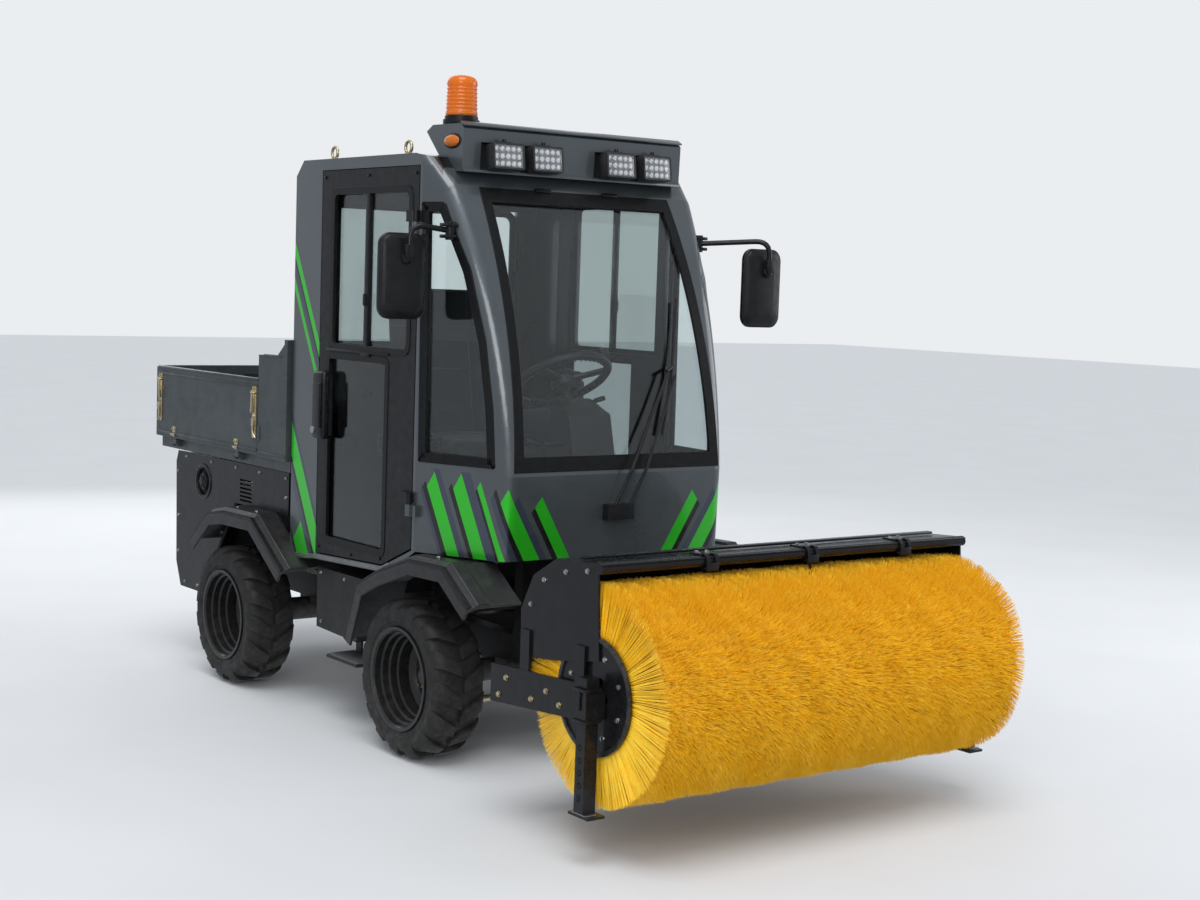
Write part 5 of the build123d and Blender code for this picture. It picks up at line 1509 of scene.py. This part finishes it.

# %% [markdown]
# The seat cover is a coarse dark cloth. A weave is two sets of fine waves that cross; multiplied,
# they leave a raised dot at each crossing, and each dot is also laid lighter, a painted highlight
# on the raised thread. The waves follow the cushion's top and the backrest's front alike, because
# they are read through a mapping tilted by half a right angle.

# %% Seat cloth
cloth = Finish("seat_cloth", (0.012, 0.013, 0.015), 0.85, specular=0.3)
cloth.give("Sheen Weight", 0.2)
tilted = {0: cloth.where, "Rotation": (math.radians(45), 0, 0)}
inputs = {"Vector": cloth.add("ShaderNodeMapping", tilted).outputs[0], "Scale": 140.0}
weave = 1.0
for direction in ("X", "Y"):
    wave = cloth.add("ShaderNodeTexWave", inputs, bands_direction=direction)
    weave = cloth.math("MULTIPLY", weave, wave.outputs["Fac"])
cloth.mottle((0.02, 0.021, 0.024), 9)
# Painted highlight: each raised dot of the weave is laid lighter, as if lit on its top.
cloth.lay((0.06, 0.063, 0.07, 1), cloth.math("MULTIPLY", weave, 0.6))
cloth.bump(weave, 0.5)
piping = Finish("seat_piping", (0.025, 0.026, 0.028), 0.5)
piping.mottle((0.04, 0.041, 0.044), 50)
piping.grain(400, 0.1)
print("seat finishes", cloth.material.name, piping.material.name)

# %% [markdown]
# A stuffed seat is not flat: the foam crowns between the seams and the seams pull it in. That is
# simulated here. A block a little smaller than its place is remeshed into even squares, the
# points on its seams and on its hidden side are pinned, and a light air pressure blows the rest
# out as cloth. No point may move further than a set limit, so the pad keeps to its place.

# %% Blow up a pad
SWELL = 0.013
SQUARE = 0.006
AIR_STEPS = 20


def evaluated(piece):
    """A piece's mesh with its modifiers applied."""
    graph = bpy.context.evaluated_depsgraph_get()
    return bpy.data.meshes.new_from_object(piece.evaluated_get(graph))


def blown_pad(name, node, size, pose, pinned):
    """A padded piece blown up from a block of that size in millimetres, but where it's pinned."""
    mesh = bmesh.new()
    slab(mesh, (0, 0, 0), size, 26, segments=4)
    block = placed(f"{name}_block", as_mesh(mesh))
    even = block.modifiers.new("even_squares", "REMESH")
    even.mode = "VOXEL"
    even.voxel_size = SQUARE
    data = evaluated(block)
    bpy.data.objects.remove(block)
    piece = placed(name, data)
    seams = piece.vertex_groups.new(name="seams")
    seams.add([v.index for v in data.vertices if pinned(*(v.co / MM))], 1.0, "REPLACE")
    air = piece.modifiers.new("air", "CLOTH")
    air.settings.vertex_group_mass = "seams"
    air.settings.use_pressure = True
    air.settings.uniform_pressure_force = 4
    air.settings.effector_weights.gravity = 0
    for step in range(1, AIR_STEPS + 1):
        bpy.context.scene.frame_set(step)
    blown = evaluated(piece)
    moves = [after.co - before.co for before, after in zip(data.vertices, blown.vertices)]
    piece.modifiers.remove(air)
    piece.vertex_groups.clear()
    for vert, move in zip(data.vertices, moves):
        vert.co += move * min(1.0, SWELL / max(move.length, 0.000001))
    most = round(max(m.length for m in moves) / MM)
    print(name, "swelled by up to", most, "mm, held to", SWELL / MM)
    bpy.data.meshes.remove(blown)
    bpy.context.scene.frame_set(1)
    data.transform(pose)
    data.materials.clear()
    data.materials.append(cloth.material)
    data.shade_smooth()
    smooth = piece.modifiers.new("smooth", "SUBSURF")
    smooth.levels = smooth.render_levels = 1
    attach(piece, "chassis")
    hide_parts(node)


# %% [markdown]
# The cushion has two long seams that part its bolsters from the middle and two cross seams. The
# backrest repeats them and has one more below the head.

# %% Pads
CUSHION = Vector((0, 557.5, 1060))
BACKREST = Vector((0, 860, 1349.4))
LEAN = tilt(math.radians(-8))
LONG_SEAM, CROSS_SEAM = 138, 62
BACK_LONG_SEAM, BACK_CROSS_SEAMS, HEAD_SEAM = 128, (-160, 0), 170
cushion_pose = Matrix.Translation(station(*CUSHION))
back_pose = Matrix.Translation(station(*BACKREST)) @ LEAN.to_4x4()


def on_cushion_seam(x, y, z):
    """True on the cushion's seams and underside."""
    along = abs(abs(x) - LONG_SEAM) < 4
    cross = abs(x) < LONG_SEAM and abs(abs(y) - CROSS_SEAM) < 4
    return z < -24 or (z > 20 and (along or cross)) or abs(z - 4) < 3


def on_back_seam(x, y, z):
    """True on the backrest's seams and rear side."""
    along = abs(abs(x) - BACK_LONG_SEAM) < 4
    cross = abs(x) < BACK_LONG_SEAM and min(abs(z - seam) for seam in BACK_CROSS_SEAMS) < 4
    front = along or cross or abs(z - HEAD_SEAM) < 4
    return y > 22 or (y < -20 and front) or abs(y + 4) < 3


blown_pad("seat_pad", "seat_cushion", (446, 391, 78), cushion_pose, on_cushion_seam)
blown_pad("back_pad", "seat_backrest", (426, 73, 656), back_pose, on_back_seam)
print("pads done")

# %% [markdown]
# The piping is a thin cord in each seam. It is drawn from the middle of its pad, and the
# backrest's leans back with it.


# %% Piping
def on_pad(centre, turn_by, points):
    """Points given from a pad's middle, as station points."""
    return [tuple(centre + turn_by @ Vector(p)) for p in points]


mesh = bmesh.new()
flat = Matrix.Identity(3)
for side, _ in SIDES:
    x = side * LONG_SEAM
    seam = [(x, -190, 12), (x, -184, 38.5), (x, 184, 38.5), (x, 190, 12)]
    tube(mesh, on_pad(CUSHION, flat, seam), 2.4, 18, 8)
    x = side * BACK_LONG_SEAM
    seam = [(x, -12, -324), (x, -36, -314), (x, -36, 314), (x, -12, 324)]
    tube(mesh, on_pad(BACKREST, LEAN, seam), 2.4, 18, 8)
for y in (-CROSS_SEAM, CROSS_SEAM):
    seam = [(-LONG_SEAM, y, 38.5), (LONG_SEAM, y, 38.5)]
    tube(mesh, on_pad(CUSHION, flat, seam), 2, sides=8)
for z in BACK_CROSS_SEAMS:
    seam = [(-BACK_LONG_SEAM, -36, z), (BACK_LONG_SEAM, -36, z)]
    tube(mesh, on_pad(BACKREST, LEAN, seam), 2, sides=8)
seam = [(-214, -8, HEAD_SEAM), (-206, -36, HEAD_SEAM), (206, -36, HEAD_SEAM), (214, -8, HEAD_SEAM)]
tube(mesh, on_pad(BACKREST, LEAN, seam), 2.4, 18, 8)
finished("seat_piping", mesh, piping.material, "chassis", "seat_fabric", 60)
print("piping done")

# %% [markdown]
# Besides its pads the seat has slide rails, a hinge plate and a knob on each side, the bar that
# lets it slide, and the belt's buckle with a red button.

# %% Seat fittings
mesh = bmesh.new()
knob = [(0, 0), (0, 24), (5, 27), (14, 26), (18, 20), (18, 0)]
for side, _ in SIDES:
    slab(mesh, station(side * 150, 590, 1012), (34, 350, 14), 3)
    slab(mesh, station(side * 228, 800, 1075), (9, 92, 150), 4, tilt(-0.14))
    join(mesh, lathe(knob, 28, station(side * 232, 806, 1055), side=side))
tube(mesh, [(-120, 340, 1016), (-120, 322, 1016), (120, 322, 1016), (120, 340, 1016)], 6, 14, 10)
slab(mesh, station(250, 740, 1080), (20, 34, 150), 6, tilt(0.2))
finished("seat_fittings", mesh, MOULDED, "chassis", "black_plastic", 40)
mesh = bmesh.new()
slab(mesh, station(250, 726, 1155), (14, 22, 12), 3, tilt(0.2))
finished("buckle_button", mesh, RED, "chassis", "black_plastic", 40)
print("seat done")

# %% [markdown]
# Beside the seat stands the arm console with a joystick in a rubber gaiter, a row of switches
# and two rotary knobs. Ahead of the driver are a small display on a stalk, the column levers
# and two pedals. All are seen through the glass, so they stay simple.

# %% Driver's controls
CONSOLE_X, STICK_Y = -292, 470
DISPLAY, DISPLAY_TIP = station(-300, -196, 1200), tilt(0.2)
PEDAL_X, PEDAL_TIP = 165, tilt(-0.55)
dial = [(0, 0), (0, 15), (4, 15), (6, 11), (16, 10), (18, 8), (18, 0)]
grip = [(0, 0), (0, 14), (12, 17), (46, 20), (70, 22), (84, 18), (90, 8), (91, 0)]
mesh = bmesh.new()
slab(mesh, station(CONSOLE_X, 590, 1058), (104, 330, 84), 18, segments=4)
slab(mesh, station(-250, 600, 990), (60, 180, 60), 6)
slab(mesh, station(CONSOLE_X, STICK_Y, 1102), (92, 84, 14), 5)
for k in range(4):
    slab(mesh, station(CONSOLE_X - 24 + 16 * k, 556, 1103), (10, 18, 8), 2, tilt(0.25))
for dx in (-20, 20):
    join(mesh, lathe(dial, 24, station(CONSOLE_X + dx, 600, 1099), "Z"))
tube(mesh, [(CONSOLE_X, STICK_Y, 1100), (CONSOLE_X, STICK_Y - 4, 1190)], 6, sides=12)
join(mesh, lathe(grip, 28, station(CONSOLE_X, STICK_Y - 5, 1170), "Z"))
slab(mesh, DISPLAY, (210, 30, 138), 9, DISPLAY_TIP, 3)
tube(mesh, [(-88, -160, 1130), (-190, -186, 1130), (-290, -204, 1150)], 9, 40)
for side, _ in SIDES:
    tube(mesh, [(side * 30, -78, 1262), (side * 130, -62, 1284)], 6, sides=10)
    tube(mesh, [(side * 118, -64, 1281), (side * 162, -57, 1290)], 9.5, sides=12)
    tube(mesh, [(side * PEDAL_X, -168, 764), (side * PEDAL_X, -190, 850)], 8, sides=10)
    pedal = station(side * PEDAL_X, -196, 862)
    slab(mesh, pedal, (78, 12, 112), 4, PEDAL_TIP)
    for k in range(5):
        rise = PEDAL_TIP @ Vector((0, 7, -38 + 19 * k)) * MM
        slab(mesh, pedal + rise, (66, 4, 7), 1.2, PEDAL_TIP)
finished("controls", mesh, MOULDED, "chassis", "black_plastic", 40)
bellows = [(0, 0), (0, 36)] + [(4 + 6 * k, 32 - 3.4 * k + 3 * (k % 2)) for k in range(8)]
bellows += [(52, 8), (52, 0)]
gaiter = lathe(bellows, 32, station(CONSOLE_X, STICK_Y, 1108), "Z")
finished("joystick_gaiter", gaiter, SEAL, "chassis", "black_plastic", 60)
display = Finish("display_glass", (0.006, 0.009, 0.013), 0.08, coat=0.6)
display.mottle((0.012, 0.02, 0.03), 14)
mesh = bmesh.new()
pane_at = DISPLAY + DISPLAY_TIP @ Vector((0, 0.0155, 0))
slab(mesh, pane_at, (184, 3, 112), 1.2, DISPLAY_TIP)
finished("display_pane", mesh, display.material, "chassis", "glass", 40)
print("controls done")

# %% [markdown]
# The steering wheel has a horn pad on its hub, a spinner knob for turning with one hand, and
# finger ribs all round its rim. They are built flat and then turned to the wheel's shaft.

# %% Steering wheel
wheel_pose = Matrix.Translation(station(0, -9.2, 1356.8)) @ aimed((0, 90, 140))
horn = [(4, 0), (4, 50), (12, 54), (20, 50), (25, 34), (26, 0)]
spinner = [(8, 0), (8, 12), (22, 9), (26, 17), (40, 21), (54, 19), (60, 10), (61, 0)]
mesh = lathe(horn, 48, (0, 0, 0), "Z")
join(mesh, lathe(spinner, 32, (-0.127, 0.127, 0), "Z"))
RIBS = 48
for k in range(RIBS):
    rib = ball(mesh, 0.005, (0, 0, 0), 10, 6, (1.1, 0.45, 2.2))
    turned = Matrix.Rotation(math.tau * k / RIBS, 4, "Z")
    at = turned @ Matrix.Translation((0.1675, 0, -0.007))
    bmesh.ops.transform(mesh, matrix=at, verts=rib)
bmesh.ops.transform(mesh, matrix=wheel_pose, verts=mesh.verts)
finished("horn_and_grip", mesh, SEAL, "steering_wheel", "black_plastic", 40)
print("finger ribs", RIBS)

# %% [markdown]
# The side panels behind the cab are plain sheets that bolts hold along their edges. High up
# sits the filler, a bowl in a round rim with a cap that has grip lugs. The bowl is black
# plastic painted darker still, as painted shade for the deep filler neck under it. A light
# strip of aluminium covers the sill under each door, and the folding step has a tread plate of
# raised bars.

# %% Side panels, sill and step
sill_grey = Finish("sill_grey", (0.21, 0.215, 0.22), 0.38, metallic=0.6)
sill_grey.mottle((0.15, 0.155, 0.16), 30)
sill_grey.dust(0.2, 0.9)
# The bowl's near-black is black plastic with painted shade, for the dark depth of the filler neck.
neck_shade = Finish("filler_shade_black", (0.0025, 0.0025, 0.0025), 0.6, specular=0.2)
neck_shade.mottle((0.005, 0.005, 0.005), 60)
PANEL_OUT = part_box("side_panels")[1].x / MM
PORT = (1883, 798)
PANEL_BOLTS = [(1100, 892), (1100, 812), (1340, 892), (1560, 892), (1800, 892), (2060, 892)]
PANEL_BOLTS += [(2146, 820), (2140, 620), (2136, 460), (2060, 330), (1930, 330)]
PANEL_BOLTS += [(1800, 460), (1690, 600)]
BOX_BOLTS = [(430, 545), (600, 552), (790, 552), (780, 360), (560, 350)]
bowl_section = [(-7.5, 0), (-7.5, 57), (1, 57.5), (1, 66), (-9, 66), (-9, 0)]
rim_section = [(-1, 62), (3, 63), (5, 67), (5, 75), (3, 79), (-1, 80)]
cap_section = [(-7, 0), (-7, 38), (2, 37), (5, 33), (6, 0)]
sill_line = [(230, 652), (287, 628), (797, 606), (1008, 586.5)]
sill_section = [(572, 3), (586, 3), (586, 19), (572, 19)]
for side, name in SIDES:
    centre = station(side * PANEL_OUT, *PORT)
    bowl = lathe(bowl_section, 64, centre, side=side)
    finished(f"filler_bowl_{name}", bowl, neck_shade.material, "chassis", "black_plastic", 40)
    rim = lathe(rim_section, 64, centre, side=side)
    finished(f"filler_rim_{name}", rim, ENAMEL, "chassis", "black_paint", 60)
    cap = lathe(cap_section, 48, centre, side=side)
    for k in range(3):
        lug = centre + Vector((side * 0.006, 0, 0))
        slab(cap, lug, (6, 62, 8), 2, tilt(math.pi * k / 3))
    finished(f"filler_cap_{name}", cap, MOULDED, "chassis", "black_plastic", 40)
    spots = [(side * (PANEL_OUT + 0.3), y, z) for y, z in PANEL_BOLTS]
    bolts(f"side_panel_bolts_{name}", spots, (side, 0, 0), 7, BRIGHT, "chassis")
    spots = [(side * (PANEL_OUT + 0.3), y, z) for y, z in BOX_BOLTS]
    bolts(f"side_box_bolts_{name}", spots, (side, 0, 0), 7, BRIGHT, "chassis")
    strip = mitred(sill_line, sill_section, side)
    strip = finished(f"sill_strip_{name}", strip, sill_grey.material, "chassis", "black_paint", 30)
    softened(strip, 1.5)
    mesh = bmesh.new()
    slab(mesh, station(side * 515, 577.5, 247.5), (124, 230, 4), 1)
    for k in range(13):
        slab(mesh, station(side * 515, 475 + 17 * k, 251), (106, 6, 5), 1.5)
    finished(f"step_tread_{name}", mesh, sill_grey.material, "chassis", "black_paint", 40)
print("panels done")

# %% [markdown]
# The tail has three lenses in each lamp housing, amber outside, red in the middle and clear
# inside, a red reflector above, and an empty carrier for a number plate with its own small lamp.

# %% Tail lamps
TAIL_Y = (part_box("tail_panel")[1].y - AXLE_Y) / MM
RAIL_END = TAIL_Y - 34.3
lens_sets = (
    ("tail_amber", AMBER, 482, 32, "amber"),
    ("tail_red", RED, 442, 42, "lamp"),
    ("tail_clear", CLEAR_LENS, 402, 32, "lamp"),
)
for name, material, x, wide, slot in lens_sets:
    mesh = bmesh.new()
    for side, _ in SIDES:
        slab(mesh, station(side * x, TAIL_Y + 4, 515), (wide, 14, 80), 4, segments=3)
        for k in range(8):
            slab(mesh, station(side * x, TAIL_Y + 11, 483 + 9 * k), (wide - 8, 2.5, 3), 0.8)
        if name == "tail_red":
            slab(mesh, station(side * x, RAIL_END + 13, 610), (70, 7, 34), 3)
    finished(name, mesh, material, "chassis", slot, 40)
mesh = bmesh.new()
for side, _ in SIDES:
    for z in (472, 558):
        slab(mesh, station(side * 440, TAIL_Y + 1, z), (126, 12, 6), 2)
    for x in (378, 462, 422, 502):
        slab(mesh, station(side * x, TAIL_Y + 1, 515), (4, 12, 84), 1.2)
slab(mesh, station(0, RAIL_END + 13, 540), (306, 6, 78), 2.5)
slab(mesh, station(0, RAIL_END + 24, 592), (90, 28, 20), 6)
finished("tail_lamp_frames", mesh, MOULDED, "chassis", "black_plastic", 40)
spots = [(x, TAIL_Y - 23.5, z) for x in (-525, -120, 120, 525) for z in (470, 840)]
bolts("tail_bolts", spots, (0, 1, 0), 7, BRIGHT, "chassis")
print("tail lamps done")

# %% [markdown]
# The towing jaw is a plate with two thick tongues, held by four large bolts. Its drop pin goes
# through both tongues and has a bent handle.

# %% Towing jaw
mesh = bmesh.new()
slab(mesh, station(0, RAIL_END + 5, 375), (190, 11, 124), 3)
for z in (348, 402):
    slab(mesh, station(0, RAIL_END + 42, z), (96, 78, 15), 5)
slab(mesh, station(0, RAIL_END + 12, 375), (96, 16, 66), 3)
finished("towing_jaw", mesh, ENAMEL, "chassis", "black_paint", 40)
mesh = bmesh.new()
PIN_Y = RAIL_END + 56
tube(mesh, [(0, PIN_Y, 326), (0, PIN_Y, 428)], 10, sides=20)
handle = [(-16, PIN_Y, 424), (-16, PIN_Y, 446), (16, PIN_Y, 446), (16, PIN_Y, 424)]
tube(mesh, handle, 4, 9, 10)
slab(mesh, station(0, PIN_Y, 416), (42, 26, 8), 3)
finished("towing_pin", mesh, ZINC, "chassis", "zinc", 40)
spots = [(x, RAIL_END + 10.5, z) for x in (-70, 70) for z in (335, 415)]
bolts("towing_bolts", spots, (0, 1, 0), 13, ZINC, "chassis")
print("towing jaw done")

# %% [markdown]
# The lift linkage turns on greased pins. Each pin end shows a turned collar with a grease
# nipple, whose ball catches the light.

# %% Pin ends
PIVOT_Y, PIVOT_Z = -430, 380
LOW_PIN = (-689.5, 454.4)
LINK_RISE = 180
CYLINDER_EYE = (PIVOT_Y, 690)
PIN_END = [(-1, 0), (-1, 20), (4, 20), (6, 17), (6, 8), (8, 7), (8, 0)]


def pin_ends(name, body, places):
    """Collars with grease nipples on both ends of pins, places as (x, y, z)."""
    mesh = bmesh.new()
    for x, y, z in places:
        for side, _ in SIDES:
            join(mesh, lathe(PIN_END, 32, station(side * x, y, z), side=side))
            tube(mesh, [(side * (x + 6), y, z), (side * (x + 16), y, z)], 2.6, sides=8)
            ball(mesh, 0.0034, station(side * (x + 16), y, z), 10, 8)
    finished(name, mesh, ZINC, body, "zinc", 40)


pin_ends("arm_pin_ends", "lift_arms", [(166, PIVOT_Y, PIVOT_Z), (146, *LOW_PIN)])
link_pins = [(166, PIVOT_Y, PIVOT_Z + LINK_RISE), (118, LOW_PIN[0], LOW_PIN[1] + LINK_RISE)]
pin_ends("link_pin_ends", "upper_link", link_pins)
pin_ends("lift_cylinder_pin_ends", "lift_cylinder", [(50, *CYLINDER_EYE)])
print("pin ends done")

# %% [markdown]
# Each cylinder has a screwed gland where its rod comes out. The tie rod's ball joints wear
# rubber boots and nuts, and a large nut closes the pin that the brush swivels on.


# %% Glands, boots and nuts
def gland(name, body, base, tip, distance, radius, bore):
    """A screwed collar on a cylinder's rod end, at a distance from its base eye."""
    start = Vector((0, *base))
    way = (Vector((0, *tip)) - start).normalized()
    section = [(-14, bore), (-14, radius), (-4, radius + 2.5), (8, radius + 2.5)]
    section += [(10, radius - 2), (14, radius - 3), (14, bore)]
    mesh = lathe(section, 40, (0, 0, 0), "Z")
    pose = Matrix.Translation(station(*(start + way * distance))) @ aimed(way)
    bmesh.ops.transform(mesh, matrix=pose, verts=mesh.verts)
    finished(name, mesh, ENAMEL, body, "black_paint", 40)


gland("bed_gland", "bed_cylinder", (1500, 482), (1820, 905), 462, 34, 18.1)
gland("lift_gland", "lift_cylinder", CYLINDER_EYE, (-593.4, 426.9), 219, 26, 14.1)
boot = [(-36, 9), (-36, 16), (-33, 19), (-31, 15), (-29, 17), (-27.5, 13), (-27.5, 9)]
TIE_X, TIE_Y = 430, -130
mesh = bmesh.new()
for side, _ in SIDES:
    join(mesh, lathe(boot, 28, station(side * TIE_X, TIE_Y, 266), "Z"))
finished("tie_rod_boots", mesh, SEAL, "tie_rod", "black_plastic", 60)
spots = [(side * TIE_X, TIE_Y, 256.6) for side, _ in SIDES]
bolts("tie_rod_nuts", spots, (0, 0, 1), 13, ZINC, "tie_rod")
bolts("swivel_nut", [(0, -749.5, 649)], (0, 0, 1), 22, ZINC, "brush_frame")
print("glands, boots and nuts done")

# %% [markdown]
# Six couplers wait on the lift bracket for other tools. Their soft caps are green and orange in
# turn, so that supply and return aren't mixed up.

# %% Couplers
COUPLERS = 6
mesh, green_caps, orange_caps = bmesh.new(), bmesh.new(), bmesh.new()
slab(mesh, station(-226, -356, 640), (112, 26, 96), 4)
for k in range(COUPLERS):
    x, z = -262 + 36 * (k % 3), 618 + 44 * (k // 3)
    ahead = Matrix.Translation(station(x, -368, z)) @ Matrix.Rotation(math.pi / 2, 4, "X")
    section = [(0, 6), (0, 13), (12, 13), (14, 11), (26, 11), (26, 6)]
    join(mesh, lathe(section, 24, (0, 0, 0), "Z"), ahead)
    section = [(22, 0), (22, 14), (24, 15.5), (34, 15.5), (42, 13), (44, 0)]
    caps = green_caps if k % 2 else orange_caps
    join(caps, lathe(section, 24, (0, 0, 0), "Z"), ahead)
finished("coupler_block", mesh, BRIGHT, "chassis", "zinc", 40)
cap_sets = (
    ("green_caps", green_caps, (0.02, 0.3, 0.05)), ("orange_caps", orange_caps, (0.8, 0.2, 0.01))
)
for name, mesh, colour in cap_sets:
    soft = Finish(f"{name}_rubber", colour, 0.45)
    soft.mottle(tuple(0.8 * c for c in colour), 60)
    soft.grain(500, 0.05)
    finished(name, mesh, soft.material, "chassis", "black_plastic", 40)
print("couplers", COUPLERS)

# %% [markdown]
# The roof has an eye near each corner. Each is a ring of round bar on a turned foot.

# %% Roof eyes
eye_ring = [on_circle(0, 22, 6, k / 12) for k in range(12)]
eye_foot = [(-1, 0), (-1, 26), (4, 26), (7, 20), (12, 12), (14, 0)]
mesh = bmesh.new()
for side, _ in SIDES:
    for y in (300, 860):
        join(mesh, lathe(eye_ring, 36, station(side * 500, y, ROOF_Z + 32)))
        join(mesh, lathe(eye_foot, 32, station(side * 500, y, ROOF_Z), "Z"))
finished("roof_eyes", mesh, ZINC, "chassis", "zinc", 40)
print("roof eyes done")

# %% [markdown]
# The floor is a very large pale sheet, a little rough, with a faint mottle so that the soft
# contact shadows under tyres and bristles have something to lie on. Reflections don't see it
# and meet the even pale world instead, which keeps the panes clear of grain.

# %% Floor
mesh = bmesh.new()
bmesh.ops.create_grid(mesh, x_segments=1, y_segments=1, size=40)
floor = placed("floor", as_mesh(mesh, "floor"))
ground = Finish("pale_floor", (0.66, 0.67, 0.68), 0.75)
ground.mottle((0.64, 0.65, 0.66), 1.3)
floor.data.materials.append(ground.material)
floor.visible_glossy = False
print("floor", floor.name)
